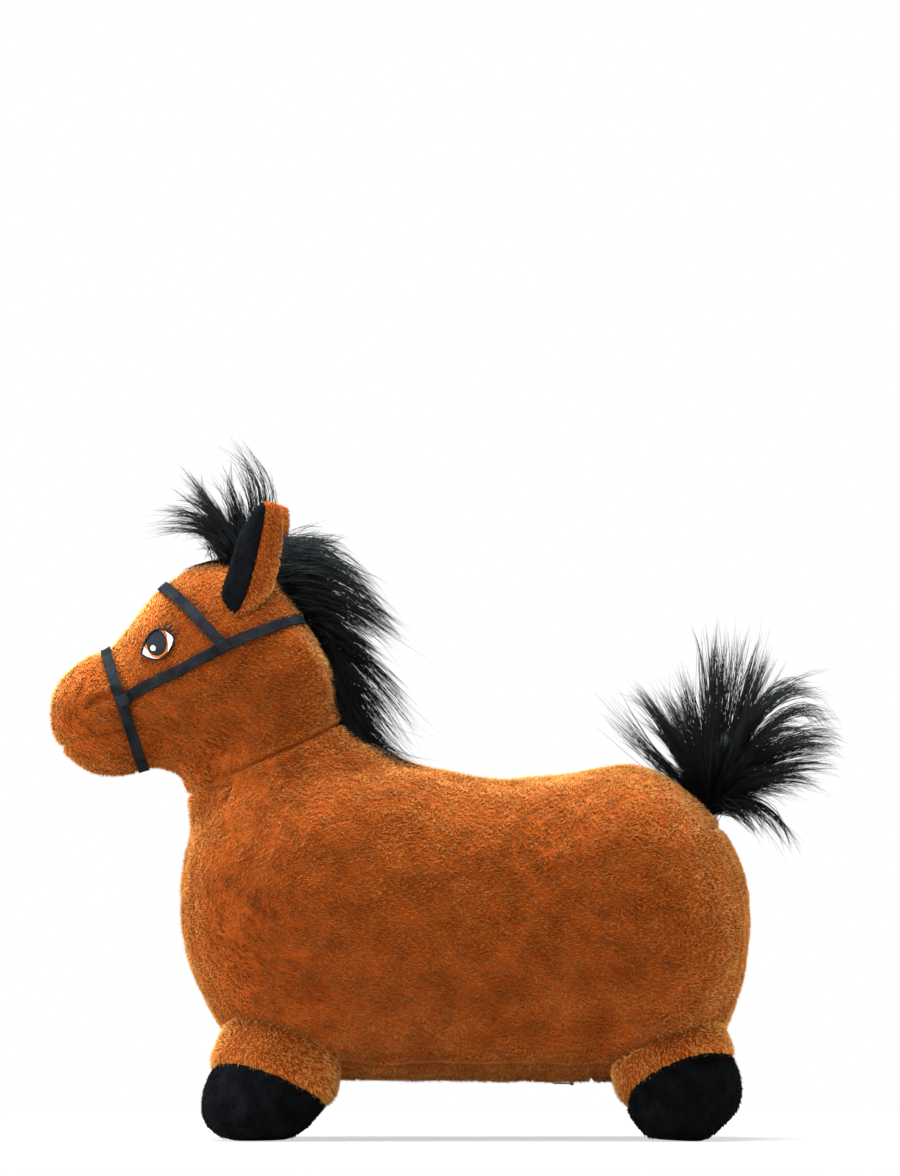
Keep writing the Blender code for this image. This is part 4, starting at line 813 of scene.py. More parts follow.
def cut_along(points, triangles, planes):
    """The surface with new edges where the planes (point, normal) cross it."""
    shape = bmesh.new()
    made = blender_object("cut", points, triangles)
    shape.from_mesh(made.data)
    for place, normal in planes:
        geom = [*shape.verts, *shape.edges, *shape.faces]
        bmesh.ops.bisect_plane(shape, geom=geom, plane_co=place, plane_no=normal, dist=0.0001)
    bmesh.ops.triangulate(shape, faces=shape.faces)
    shape.to_mesh(made.data)
    shape.free()
    result = arrays(made)
    bpy.data.objects.remove(made)
    return result


def rows_of(shares, x, z, width):
    """Rows of a form from its shares: front x and z, back x and z, half its width, and its y."""
    return [(x(a), z(b), x(c), z(d), wide * width / 2, 0) for a, b, c, d, wide in shares]


body_shares = [(x, top, x, bottom, wide) for x, top, bottom, wide in BODY_SHARES]
body_rows = rows_of(body_shares, body_x, body_z, BODY_WIDTH)
body_form = tube(ovals(along(body_rows, 150), 120, BODY_SQUARENESS))
neck_form = tube(ovals(along(rows_of(NECK_SHARES, neck_x, neck_z, NECK_WIDTH), 60), 72))
head_form = tube(ovals(along(rows_of(HEAD_SHARES, head_x, head_z, HEAD_WIDTH), 90), 72))
skin_points, skin_triangles = fused([body_form, neck_form, head_form], VOXEL, 10)


def relaxed(points, triangles, weight, rounds):
    """Points drawn towards the mean of their neighbours, as far as the weight says, round after round."""
    start, end = edges_of(triangles).T
    number = np.bincount(start, minlength=len(points))[:, None]
    for turn in range(rounds):
        mean = np.stack([np.bincount(start, points[end, i], len(points)) for i in range(3)], axis=1)
        points = points + 0.6 * weight[:, None] * (mean / number - points)
    return points


def hollow_at(points, place, reach):
    """1 at a side-view place, falling off smoothly with distance from it."""
    gap = np.linalg.norm(points[:, [0, 2]] - place, axis=1)
    return bell(gap, reach)


# Heights in metres of the folds at the tail and the nostril
FOLD_RISE, FOLD_HOLLOW = 0.0040, 0.0020
NOSTRIL_ROLL, NOSTRIL_CREASE = 0.0030, 0.0038
# Places read from the photograph
SHOULDER, TAIL_FOLD, BESIDE_TAIL = spots((262, 775), (711, 818), (700, 826))

# The shoulder, where the neck's skin runs into the body's, has no edge
shoulder = hollow_at(skin_points, SHOULDER, 0.055)
skin_points = relaxed(skin_points, skin_triangles, shoulder, 60)
skin_normals = normals_of(skin_points, skin_triangles)

# Air and cloth: shallow waves all over, a fold pulled up at the tail, and the nostril's fold
swell = 0.0011 * wander(skin_points, 0.075, 21) + 0.0006 * wander(skin_points, 0.030, 22)
tail_fold = hollow_at(skin_points, TAIL_FOLD, 0.016) * bell(skin_points[:, 1], 0.008)
beside = hollow_at(skin_points, BESIDE_TAIL, 0.020)
beside = beside * bell(np.abs(skin_points[:, 1]) - 0.016, 0.008)
swell += FOLD_RISE * tail_fold - FOLD_HOLLOW * beside
# The face, which lies ahead of the body and above this height, has no waves
FACE_FLOOR = 0.3
swell *= (skin_points[:, 0] > body_x(0)) | (skin_points[:, 2] < FACE_FLOOR)
NOSTRIL_STEPS = 60
NOSTRIL = along(spots((84, 708), (94, 701), (106, 697), (119, 694)), NOSTRIL_STEPS)


def nostril_gap(points):
    """Height over the nostril's line in side view, distance from it, and how much of the fold is there."""
    flat = points[:, [0, 2]]
    found = nearest(flat, NOSTRIL)
    gap = flat - NOSTRIL[found]
    ends = np.clip(np.minimum(found, NOSTRIL_STEPS - 1 - found) / 12, 0, 1)
    return gap[:, 1], np.linalg.norm(gap, axis=1), ends


nose_zone = np.nonzero(skin_points[:, 0] < NOSTRIL[:, 0].max() + 0.03)[0]
height, distance, ends = nostril_gap(skin_points[nose_zone])
side_only = np.clip((np.abs(skin_points[nose_zone, 1]) - 0.012) / 0.01, 0, 1)
fold = NOSTRIL_ROLL * bell(height - 0.006, 0.006) * bell(distance, 0.011)
fold -= NOSTRIL_CREASE * bell(distance, 0.0035) * ends
swell[nose_zone] += fold * side_only
skin_points = skin_points + swell[:, None] * skin_normals
skin_normals = normals_of(skin_points, skin_triangles)


def line_side(points, line):
    """How far side-view points lie to the left of a line through two side-view points."""
    start, way = line[0], unit(line[1] - line[0])
    return (points[:, 2] - start[1]) * way[0] - (points[:, 0] - start[0]) * way[1]


NECK_LINE = head_points(NECK_SEAM_SHARES)
NOSE_LINE = head_points(NOSEBAND_SHARES[2:0:-1])
MOUTH_LINE = head_points(MOUTH_SHARES)


def line_plane(line):
    """The plane, as point and normal, that stands on a side-view line."""
    way = line[1] - line[0]
    return (line[0][0], 0, line[0][1]), (-way[1], 0, way[0])


# The zip's opening in the belly panel
SLOT_LENGTH, SLOT_HALF, SLOT_TOP = 0.1932, 0.0071, 0.07
SLOT_START = body_x(ZIP_START_SHARE) - 0.0003
SLOT_END = SLOT_START + SLOT_LENGTH
GUSSET_HALF = GUSSET_WIDTH / 2
front_split, rear_split = body_x(FRONT_SPLIT_SHARE), body_x(REAR_SPLIT_SHARE)
planes = [((place, 0, 0), (1, 0, 0)) for place in (SLOT_START, SLOT_END)]
planes += [((0, place, 0), (0, 1, 0)) for place in (SLOT_HALF, -SLOT_HALF, 0, GUSSET_HALF, -GUSSET_HALF)]
planes += [((place, 0, 0), (1, 0, 0)) for place in (front_split, rear_split)]
planes += [line_plane(line) for line in (NECK_LINE, NOSE_LINE, MOUTH_LINE)]
points, triangles = cut_along(skin_points - PILE_SINK * skin_normals, skin_triangles, planes)
middles = points[triangles].mean(axis=1)
above = line_side(middles, NECK_LINE) > 0
nose = above & (line_side(middles, NOSE_LINE) > 0)
upper = line_side(middles, MOUTH_LINE) > 0
left = middles[:, 1] < 0
inner = np.abs(middles[:, 1]) < GUSSET_HALF
x, z = middles[:, 0], middles[:, 2]
chest = inner & (x < front_split) & (z < body_z(CHEST_TOP_SHARE))
rump = inner & (x > rear_split) & (z < body_z(RUMP_TOP_SHARE))
belly = inner & ~chest & ~rump & (z < body_z(BELLY_TOP_SHARE))
belly &= (x > front_split) & (x < rear_split)
opening = (np.abs(middles[:, 1]) < SLOT_HALF) & (x > SLOT_START) & (x < SLOT_END) & (z < SLOT_TOP)
panel = np.select(
    [opening, nose & upper, nose, above & left, above, chest, belly, rump, left], range(9), 9
)
PANELS = dict(enumerate((
    "muzzle_upper", "muzzle_chin", "head_left", "head_right", "chest_panel", "belly_panel", "rump_panel",
    "side_panel_left", "side_panel_right",
), 1))
cover_normals = normals_of(points, triangles)


def seam_points():
    """Points that lie on an edge between two different panels."""
    edges = edges_of(triangles)
    owner = np.tile(panel, 3)
    _, same = np.unique(np.sort(edges, axis=1), axis=0, return_inverse=True)
    same = same.reshape(-1)
    low = np.full(same.max() + 1, 99)
    high = np.zeros(same.max() + 1)
    np.minimum.at(low, same, owner)
    np.maximum.at(high, same, owner)
    return np.unique(edges[(low != high)[same]])


seams = points[seam_points()]
seam_distance = np.linalg.norm(points - seams[nearest(points, seams)], axis=1)
# A seam is drawn in less where the cover rests close to the floor
depth = SEAM_DEPTH * np.clip((points[:, 2] - 0.05) / 0.04, 0.3, 1) * bell(seam_distance, SEAM_WIDTH)
points = points - depth[:, None] * cover_normals
cover_points = points


# The ways that the pile lies: backwards and down on the body, and down the legs and the ears
COVER_FLOW, LEG_FLOW, EAR_FLOW = (1.0, 0.0, -0.25), (0.25, 0.0, -1.0), (0.35, 0.0, -1.0)


def slot_gap(places):
    """Distance of each place from the zip's opening, seen from below."""
    past_end = np.maximum(np.maximum(SLOT_START - places[:, 0], places[:, 0] - SLOT_END), 0)
    return np.hypot(np.maximum(np.abs(places[:, 1]) - SLOT_HALF, 0), past_end)


def seam_gap(places):
    """Distance of each place from the nearest seam, from the planes and lines that the seams lie on."""
    x, y, z = places.T
    on_head = line_side(places, NECK_LINE) > -0.0005
    on_nose = on_head & (line_side(places, NOSE_LINE) > -0.0005)
    chest_top, belly_top, rump_top = map(body_z, (CHEST_TOP_SHARE, BELLY_TOP_SHARE, RUMP_TOP_SHARE))
    top = np.select([x < front_split, x < rear_split], [chest_top, belly_top], rump_top)
    inside = ~on_head & (z < top)
    split = np.minimum(np.abs(x - front_split), np.abs(x - rear_split))
    far = np.full(len(places), 1.0)
    gaps = [
        np.abs(line_side(places, NECK_LINE)),
        np.where(on_nose, np.abs(line_side(places, MOUTH_LINE)), far),
        np.where(inside, np.abs(np.abs(y) - GUSSET_HALF), far),
        np.where(inside & (np.abs(y) < GUSSET_HALF), split, far),
        np.where(inside, far, np.abs(y)),
        np.where(inside & (z < SLOT_TOP), slot_gap(places), far),
    ]
    near_nose = on_nose & (np.abs(y) > 0.012)
    if near_nose.any():
        _, distance, ends = nostril_gap(places[near_nose])
        gaps.append(far.copy())
        gaps[-1][near_nose] = distance + 0.004 * (1 - ends)
    return np.min(gaps, axis=0)


def away_from_seams(places, gap):
    """Unit vectors that point away from the nearest seam, from small steps along each axis."""
    near = np.nonzero(gap < 0.010)[0]
    way = np.zeros_like(places)
    for axis in range(3):
        moved = places[near].copy()
        moved[:, axis] += 0.0002
        way[near, axis] = seam_gap(moved) - gap[near]
    return way / 0.0002


PLUSH_RADIUS = 0.00048
SEAM_BARE = 0.0004


def plush_piece(name, surface, flow, body, nodes, wall=None, length=0.0044, spacing=0.00153, painted_light=0.0):
    """A panel of plush: a walled backing with pile standing on its outer side; the last argument paints light
    onto the pile, lifting it towards its tip colour and its lightest shade.
    """
    base, faces, normals = surface
    spacing *= 1
    places, ways = scattered(base, faces, spacing)
    bare = covered(places)
    places, ways = places[~bare], ways[~bare]
    gap, away = None, None
    if nodes[0] in PANELS.values():
        gap = seam_gap(places)
        kept = gap > SEAM_BARE
        places, ways, gap = places[kept], ways[kept], gap[kept]
        away = away_from_seams(places, gap)
    radius = PLUSH_RADIUS * 1
    fur = pile(places, ways, flow, length, radius, gap=gap, away=away)
    # Painted light: the pile is lifted towards its tip colour and its lightest shade
    fur = (*fur[:2], fur[2] + 0.45 * painted_light * (1 - fur[2]), painted_light + 0.75 * fur[3] * (1 - painted_light))
    backing = walled(base, faces, wall or PANEL_WALL, normals)
    # The backing takes a colour near the dark root: painted shade in the gaps between the fibres
    made = furred(name, (even(backing, 0.18, 0.4), fur), PLUSH, body, nodes, "brown_plush")


# Bridle and eyes: things sewn on the head

RIBBON_WIDTH = 0.0098
RIBBON_LIFT = 0.0024
HEAD_FLOOR, SEWN_FLOOR = 0.27, 0.29
upper_skin = skin_points[:, 2] > HEAD_FLOOR
head_base = (skin_points - PILE_SINK * skin_normals)[upper_skin]
head_ways = skin_normals[upper_skin]


def settled(places, lift=0.0, rounds=2, block=300):
    """Places moved onto the head's surface and lifted off it: the mean of the six nearest tangent planes."""
    for turn in range(rounds):
        moved, outs = [], []
        for start in range(0, len(places), block):
            some = places[start : start + block]
            low, high = some.min(axis=0) - 0.012, some.max(axis=0) + 0.012
            close = np.nonzero(np.all((head_base > low) & (head_base < high), axis=1))[0]
            gaps = ((some[:, None, :] - head_base[close][None]) ** 2).sum(axis=2)
            near = np.argpartition(gaps, 6, axis=1)[:, :6]
            weight = 1 / (np.take_along_axis(gaps, near, axis=1) + 4e-6)
            weight = (weight / weight.sum(axis=1, keepdims=True))[:, :, None]
            near = close[near]
            ways = head_ways[near]
            off = np.sum((some[:, None] - head_base[near]) * ways, axis=2, keepdims=True)
            moved.append(some - np.sum(weight * off * ways, axis=1))
            outs.append(unit(np.sum(weight * ways, axis=1)))
        places, out = np.concatenate(moved), np.concatenate(outs)
    return places + lift * out, out


def on_left(line):
    """Places on the left of the head under side-view points, and how far outside its outline each is."""
    near_side = (head_ways[:, 1] < -0.25) & (head_base[:, 1] < -0.004)
    base, ways = head_base[near_side], head_ways[near_side]
    flat = base[:, [0, 2]]
    found = nearest(line, flat)
    gap = line - flat[found]
    rise = (gap[:, 0] * ways[found, 0] + gap[:, 1] * ways[found, 2]) / ways[found, 1]
    y = base[found, 1] - np.clip(rise, -0.003, 0.003)
    return np.stack([line[:, 0], y, line[:, 1]], axis=1), np.linalg.norm(gap, axis=1)


def band_path(shares, opens_at_start):
    """A strap's middle line on the left side; it starts at the middle of the head or at a free end."""
    line = along(head_points(shares), 300)
    places, outside = on_left(line)
    inside = np.nonzero(outside < 0.0022)[0]
    first, last = inside[0], inside[-1]
    path = [places[first : last + 1 : 6]]
    if opens_at_start:
        path.insert(0, np.array([[line[max(first - 2, 0), 0], 0, line[max(first - 2, 0), 1]]]))
    end = line[min(last + 3, 299)]
    path.append(np.array([[end[0], 0, end[1]]]))
    return np.concatenate(path)


def facing(base, faces, ways):
    """The triangles, turned over if they look against the ways."""
    return faces[:, ::-1] if np.sum(normals_of(base, faces) * ways) < 0 else faces


def sheet(base, ways, rows, columns, wall):
    """A closed sheet over a grid of points, its outer side facing their outward ways."""
    return walled(base, facing(base, grid_faces(rows, columns), ways), wall, ways)


def sewn_on(name, shell, look, node_name, slot, **values):
    """A closed sheet on the cover; each value is given for its outer side and repeated for its inner side."""
    values = {title: np.tile(numbers, 2) for title, numbers in values.items()}
    piece(name, *shell, look, "cover", [node_name], slot, **values)


STRAP_ROWS, STRAP_COLUMNS = 240, 11
RIBBON_WALL, SELVEDGE, SELVEDGE_SHARE = 0.0011, 0.00018, 0.42


def strap(name, path, node_name, closed=False, lift=RIBBON_LIFT):
    """A flat woven ribbon along a path on the head: a closed sheet with length and breadth attributes."""
    centre = along(settled(along(path, 260))[0], STRAP_ROWS)
    centre, out = settled(centre, 0.0, 1)
    way = unit(np.gradient(centre, axis=0))
    if closed:
        way[0] = way[-1] = unit(centre[1] - centre[-2])
    across = unit(np.cross(way, out))
    columns = np.linspace(-0.5, 0.5, STRAP_COLUMNS)
    grid = centre[:, None] + across[:, None] * columns[None, :, None] * RIBBON_WIDTH
    base, ways = settled(grid.reshape(-1, 3), 0.0, 1)
    edge = SELVEDGE * (np.abs(columns) > SELVEDGE_SHARE)
    base = base + (lift + np.tile(edge, STRAP_ROWS))[:, None] * ways
    length = np.concatenate([[0], np.cumsum(np.linalg.norm(np.diff(centre, axis=0), axis=1))])
    along_it = np.repeat(length, STRAP_COLUMNS)
    across_it = np.tile(columns * RIBBON_WIDTH, STRAP_ROWS)
    shell = sheet(base, ways, STRAP_ROWS, STRAP_COLUMNS, RIBBON_WALL)
    sewn_on(name, shell, RIBBON, node_name, "black_ribbon", length=along_it, breadth=across_it)
    return centre


def both_sides(shares, opens_at_start):
    """A strap's middle line on the left side, and from its end the same one back on the right side."""
    left_line = band_path(shares, opens_at_start)
    return np.concatenate([left_line, (left_line * [1, -1, 1])[-2::-1]])


browband_left = band_path(BROWBAND_SHARES, True)
browband = np.concatenate([(browband_left * [1, -1, 1])[:0:-1], browband_left])[2:-1]


CROSSING_LIFT = 0.0009
TACK_STEPS, TACK_SIZE, TACK_WALL, TACK_DOME, TACK_LIFT = 13, 0.0105, 0.001, 0.0004, 0.0019


def bridle():
    """The three ribbons and the sewn squares where they cross; returns their middle lines."""
    over = RIBBON_LIFT + CROSSING_LIFT
    lines = [
        strap("ribbon_headstrap", both_sides(HEADSTRAP_SHARES, False), "headstrap"),
        strap("ribbon_noseband", both_sides(NOSEBAND_SHARES, True), "noseband", True, over),
        strap("ribbon_browband", browband, "browband", False, over),
    ]
    for name, share, turn in (("cheek", CHEEK_TACK_SHARES, 24), ("brow", BROW_TACK_SHARES, 32)):
        places, _ = on_left(head_points([share]))
        for side, flip in (("left", 1), ("right", -1)):
            tack(f"tack_{name}_{side}", places[0] * [1, flip, 1], TACK_SIZE, turn)
    return lines


def tack(name, place, size, turn_degrees):
    """A square of ribbon, slightly domed, turned with the strap that it holds."""
    steps = np.linspace(-0.5, 0.5, TACK_STEPS)
    a, b = np.meshgrid(steps, steps, indexing="ij")
    turn = math.radians(turn_degrees)
    first = np.array([math.cos(turn), 0, math.sin(turn)])
    second = np.array([-math.sin(turn), 0, math.cos(turn)])
    _, out = settled(place[None], 0.0)
    first = unit(first - first @ out[0] * out[0])
    second = np.cross(out[0], first)
    grid = place + size * (a[..., None] * first + b[..., None] * second)
    base, ways = settled(grid.reshape(-1, 3))
    dome = TACK_DOME * (1 - (2 * a) ** 6) * (1 - (2 * b) ** 6)
    base = base + (RIBBON_LIFT + TACK_LIFT + dome.reshape(-1))[:, None] * ways
    shell = sheet(base, ways, TACK_STEPS, TACK_STEPS, TACK_WALL)
    length, breadth = a.reshape(-1) * size, b.reshape(-1) * size
    sewn_on("sewn_" + name, shell, RIBBON, name, "black_ribbon", length=length, breadth=breadth)


def about(middle, outline, count=96):
    """Even angles round a middle, and how far a closed outline lies from it at each."""
    loop = along(np.concatenate([outline[-2:], outline, outline[:3]]), 600)
    gap = loop - middle
    turn, reach = np.arctan2(gap[:, 1], gap[:, 0]), np.linalg.norm(gap, axis=1)
    order = np.argsort(turn)
    at = np.linspace(-math.pi, math.pi, count, endpoint=False)
    return at, np.interp(at, turn[order], reach[order], period=2 * math.pi)


PATCH_RINGS, PATCH_WALL = 12, 0.0008


def embroidered(name, place, radii, lift, look, slot, crown=0.0006, inner=None, extra=()):
    """A satin-stitched patch on each side of the head: rings from its middle, or an inner outline, out."""
    rings, angles = PATCH_RINGS, eye_angles
    share = np.linspace(0, 1, rings)[:, None]
    low = np.zeros_like(radii) if inner is None else inner
    reach = low + (radii - low) * share
    x = place[0] + reach * np.cos(angles)
    z = place[1] + reach * np.sin(angles)
    flat, _ = on_left(np.stack([x.reshape(-1), z.reshape(-1)], axis=1))
    base, ways = settled(flat, 0.0, 1)
    bulge = share if inner is None else 2 * share - 1
    height = crown * (1 - bulge**4) * np.ones_like(reach)
    base = base + (lift + height.reshape(-1))[:, None] * ways
    faces = grid_faces(rings, len(angles), True)
    if inner is None:
        index = np.arange(rings * len(angles))
        index[: len(angles)] = 0
        _, first, same = np.unique(index, return_index=True, return_inverse=True)
        base, ways, faces = base[first], ways[first], same.reshape(-1)[faces]
        a, b, c = faces.T
        faces = faces[(a != b) & (b != c) & (a != c)]
    shell = walled(base, facing(base, faces, ways), PATCH_WALL, ways)
    if extra:
        shell = merged(*[(p, t, np.zeros(len(p))) for p, t in (shell, *extra)])[:2]
    for side, placed in on_each_side(shell):
        sewn_on(f"stitched_{name}_{side}", placed, look, f"{name}_{side}", slot)


EYE_MIDDLE, PUPIL_MIDDLE, HIGHLIGHT_MIDDLE = spots((159.5, 645.0), (159.0, 644.0), (155.6, 649.3))
EYE_CORNERS = spots(
    (144.6, 655.1), (145.4, 649.9), (147.5, 645.1), (150.6, 638.8), (154.8, 633.7), (160.5, 631.0),
    (166.3, 631.7), (172.0, 635.0), (175.6, 638.9), (174.9, 644.2), (172.4, 649.9), (167.8, 655.7),
    (161.5, 659.6), (155.7, 659.9), (150.0, 658.2),
)
LASHES = (
    (170.5, 633.2, 176.0, 627.0), (173.2, 635.2, 180.5, 630.6), (175.0, 637.6, 182.4, 636.4),
    (164.0, 630.8, 162.6, 626.6), (167.6, 631.6, 170.0, 626.2),
)
LASH_STEPS, LASH_WIDTH, LASH_BEND, LASH_LIFT, LASH_WALL = 12, 0.00135, 0.0006, 0.0056, 0.0006
eye_angles, eye_edge = about(EYE_MIDDLE, EYE_CORNERS)


def lash(row):
    """A tapered stroke of thread between two side-view points: a flat closed sheet."""
    start, end = spots(row[:2], row[2:])
    share = np.linspace(0, 1, LASH_STEPS)[:, None]
    side = unit(np.array([-(end - start)[1], (end - start)[0]]))
    middle = start + share * (end - start) + LASH_BEND * share * (1 - share) * 4 * side
    wide = LASH_WIDTH * (1 - 0.6 * share)
    flat = np.stack([middle - wide / 2 * side, middle, middle + wide / 2 * side], axis=1)
    places, _ = on_left(flat.reshape(-1, 2))
    base, ways = settled(places, 0.0, 1)
    base = base + LASH_LIFT * ways
    return sheet(base, ways, LASH_STEPS, 3, LASH_WALL)


def disc(half_width, half_height):
    """Reach of an oval at each of the eye's angles."""
    return 1 / np.sqrt((np.cos(eye_angles) / half_width) ** 2 + (np.sin(eye_angles) / half_height) ** 2)


def eyes():
    """Satin-stitched fields, each a little over the one below, clipped to the eye's outline."""
    edge = about(PUPIL_MIDDLE, EYE_CORNERS)[1]
    rim = [lash(row) for row in LASHES]
    iris, pupil = np.minimum(disc(0.0107, 0.0127), edge), np.minimum(disc(0.0089, 0.0110), edge)
    embroidered("eye_white", EYE_MIDDLE, eye_edge, 0.0018, THREAD_WHITE, "white_thread")
    embroidered("eye_iris", PUPIL_MIDDLE, iris, 0.0021, THREAD_AMBER, "amber_thread")
    embroidered("eye_pupil", PUPIL_MIDDLE, pupil, 0.0024, THREAD_BLACK, "black_thread")
    light = disc(0.0019, 0.0023)
    embroidered("eye_highlight", HIGHLIGHT_MIDDLE, light, 0.0030, THREAD_WHITE, "white_thread", 0.0003)
    embroidered("eye_outline", EYE_MIDDLE, eye_edge + 0.0010, 0.0034, THREAD_BLACK, "black_thread", 0.0004,
                eye_edge - 0.0005, rim)


lines = bridle()
eyes()


# The plush panels


def covered(places):
    """True where a ribbon or an eye is sewn over the pile; both lie above the sewn floor."""
    hidden = np.zeros(len(places), bool)
    high = places[:, 2] > SEWN_FLOOR
    some = places[high]
    if len(some):
        path = np.concatenate([line[::2] for line in lines])
        gap = np.linalg.norm(some - path[nearest(some, path)], axis=1)
        under = gap < RIBBON_WIDTH / 2 - 0.0006
        flat = some[:, [0, 2]] - EYE_MIDDLE
        turn = np.arctan2(flat[:, 1], flat[:, 0])
        edge = np.interp(turn, eye_angles, eye_edge, period=2 * math.pi)
        under |= (np.linalg.norm(flat, axis=1) < edge + 0.0004) & (np.abs(some[:, 1]) > 0.02)
        hidden[high] = under
    return hidden


for number, name in PANELS.items():
    chosen = panel == number
    faces, base, normals = part_of(triangles, chosen, points, cover_normals)
    plush_piece("plush_" + name, (base, faces, normals), COVER_FLOW, "cover", [name])


# Legs

LEG_RINGS, LEG_SIDES = 150, 96
SLEEVE_PUFF, PUFF_HEIGHT, PUFF_WIDTH = 0.0014, 0.012, 0.011
EDGE_PINCH, PINCH_WIDTH = 0.0012, 0.0030
JOIN_RISE, JOIN_REACH, JOIN_CREASE, SLEEVE_SUNK = 0.0022, 0.006, 0.0030, 0.006
ROW_STEP = 0.00085
# The hoof starts a few rows up inside the sleeve; its nap is short and lies flat
TUCKED_ROWS, HOOF_INSET, TUCK_DEPTH = 3, 0.0012, 0.002
NAP_LENGTH, NAP_RADIUS, NAP_LEAN, SOLE_HEIGHT = 0.0024, 0.0005, 58, 0.002


def over_cover(places, margin=0.03):
    """How high places lie over the cover's nearest tangent plane, and the way out there."""
    low, high = places.min(axis=0) - margin, places.max(axis=0) + margin
    near = np.all((cover_points > low) & (cover_points < high), axis=1)
    found = nearest(places, cover_points[near])
    out = cover_normals[near][found]
    return np.sum((places - cover_points[near][found]) * out, axis=1), out


def leg_rows(table, start):
    """A left leg's rows in metres, from its table of shares and its place along the body."""
    return [
        (
            body_x(start) + a * HOOF_LENGTH,
            b * BELLY_HEIGHT,
            body_x(start) + c * HOOF_LENGTH,
            d * BELLY_HEIGHT,
            width * HOOF_WIDTH / 2,
            -aside * HOOF_OFFSET,
        )
        for a, b, c, d, width, aside in table
    ]


def leg(name, table, start, arch):
    """A plush sleeve that rolls in over the hoof, its edge arched up outside, and the velour hoof."""
    rows = leg_rows(table, start)
    dense = along(rows, LEG_RINGS)
    # Rings near the seam are shifted up on the outer side, so that the sleeve's edge is an arch
    seam = np.argmin(np.linalg.norm(dense - np.array(rows[SEAM_ROW]), axis=1))
    grid = ovals(dense, LEG_SIDES)
    outward = rows[SEAM_ROW][5] - grid[seam, :, 1]
    rows_up = arch * np.clip(outward / rows[SEAM_ROW][4], 0, 1) / ROW_STEP
    number = np.arange(len(grid))[:, None]
    source = number - rows_up * bell(number - seam, 2.4 * arch / ROW_STEP)
    source = np.clip(source, 0, len(grid) - 1.001)
    low, share = source.astype(int), (source % 1)[:, :, None]
    column = np.arange(LEG_SIDES)[None, :]
    grid = grid[low, column] * (1 - share) + grid[low + 1, column] * share
    turn = np.roll(grid, -1, axis=1) - np.roll(grid, 1, axis=1)
    ways = unit(np.cross(np.gradient(grid, axis=0), turn))
    if np.sum(ways * (grid - grid.mean(axis=1, keepdims=True))) < 0:
        ways = -ways
    # The sleeve puffs out over the hoof, is drawn in at its edge and where it meets the cover
    height = np.linalg.norm(grid - grid[seam], axis=2)
    height *= np.where(np.arange(len(grid)) < seam, 1, -1)[:, None]
    puff = SLEEVE_PUFF * bell(height - PUFF_HEIGHT, PUFF_WIDTH) - EDGE_PINCH * bell(height, PINCH_WIDTH)
    out = over_cover(grid[: seam + 1].reshape(-1, 3))[0].reshape(seam + 1, -1)
    rise = JOIN_RISE * (1 - np.exp(-np.maximum(out, 0) / JOIN_REACH)) - JOIN_CREASE * bell(out, PINCH_WIDTH)
    puff[: seam + 1] += rise * np.clip(height[: seam + 1] / 0.010, 0, 1)
    sleeve_grid = (grid + (puff - PILE_SINK)[:, :, None] * ways)[: seam + 1]
    faces = grid_faces(seam + 1, LEG_SIDES, True)
    base = sleeve_grid.reshape(-1, 3)
    normals = normals_of(base, faces)
    if np.sum(normals * ways[: seam + 1].reshape(-1, 3)) < 0:
        faces, normals = faces[:, ::-1], -normals
    shown = (over_cover(base)[0] > -SLEEVE_SUNK)[faces].all(axis=1)
    faces, base, normals = part_of(faces, shown, base, normals)
    start_row = seam - TUCKED_ROWS
    hoof_grid = grid[start_row:] - HOOF_INSET * ways[start_row:]
    hoof_grid[:TUCKED_ROWS] -= TUCK_DEPTH * ways[start_row:seam]
    hoof = tube(hoof_grid)
    low = rows[SEAM_ROW]
    middle_x = (low[0] + low[2]) / 2
    seam_z = max(low[1], low[3])
    for (side, skin), (_, shape) in zip(on_each_side((base, faces, normals)), on_each_side(hoof)):
        body = f"hoof_{name}_{side}"
        blend = ("cover", body, (middle_x, 0, seam_z + 0.030), (middle_x, 0, seam_z + 0.004))
        nodes = [f"leg_sleeve_{name}_{side}"]
        # The sleeves' pile is painted lighter: painted light, as on cuffs that bulge out into the light
        plush_piece(f"plush_sleeve_{name}_{side}", skin, LEG_FLOW, blend, nodes, painted_light=0.9)
        nap(f"velour_{body}", shape, body, [body])


def nap(name, surface, body, nodes):
    """Velour: the closed form itself with a very short dense nap, left off where it stands on the floor."""
    places, ways = scattered(*surface, 0.0028)
    keep = places[:, 2] > SOLE_HEIGHT
    fur = pile(places[keep], ways[keep], LEG_FLOW, NAP_LENGTH, NAP_RADIUS, NAP_LEAN)
    made = furred(name, (even(surface, 0.0, 0.5), fur), VELOUR, body, nodes, "black_velour")


leg("front", FRONT_LEG_SHARES, FRONT_LEG_START_SHARE, 0.0095)
leg("rear", REAR_LEG_SHARES, REAR_LEG_START_SHARE, 0.0125)


# Ears

# How far the right ear leans back, for each unit of height
FAR_EAR_LEAN = 0.075
LINING_FLATTENED, LINING_WALL, EAR_INSET = 0.22, 0.0012, 0.001
# Wall, pile length, spacing and a lift of painted light that makes the ear's pile lighter
EAR_PLUSH = (0.003, 0.0032, 0.0014, 0.5)


def ear_x(share):
    return head_x(EAR_PLACE_SHARES[0]) + share * EAR_WIDTH


def ear_y(share):
    return -EAR_SPACING / 2 - share * EAR_LEAN


def ear_z(share):
    return head_z(EAR_PLACE_SHARES[1]) + share * EAR_HEIGHT


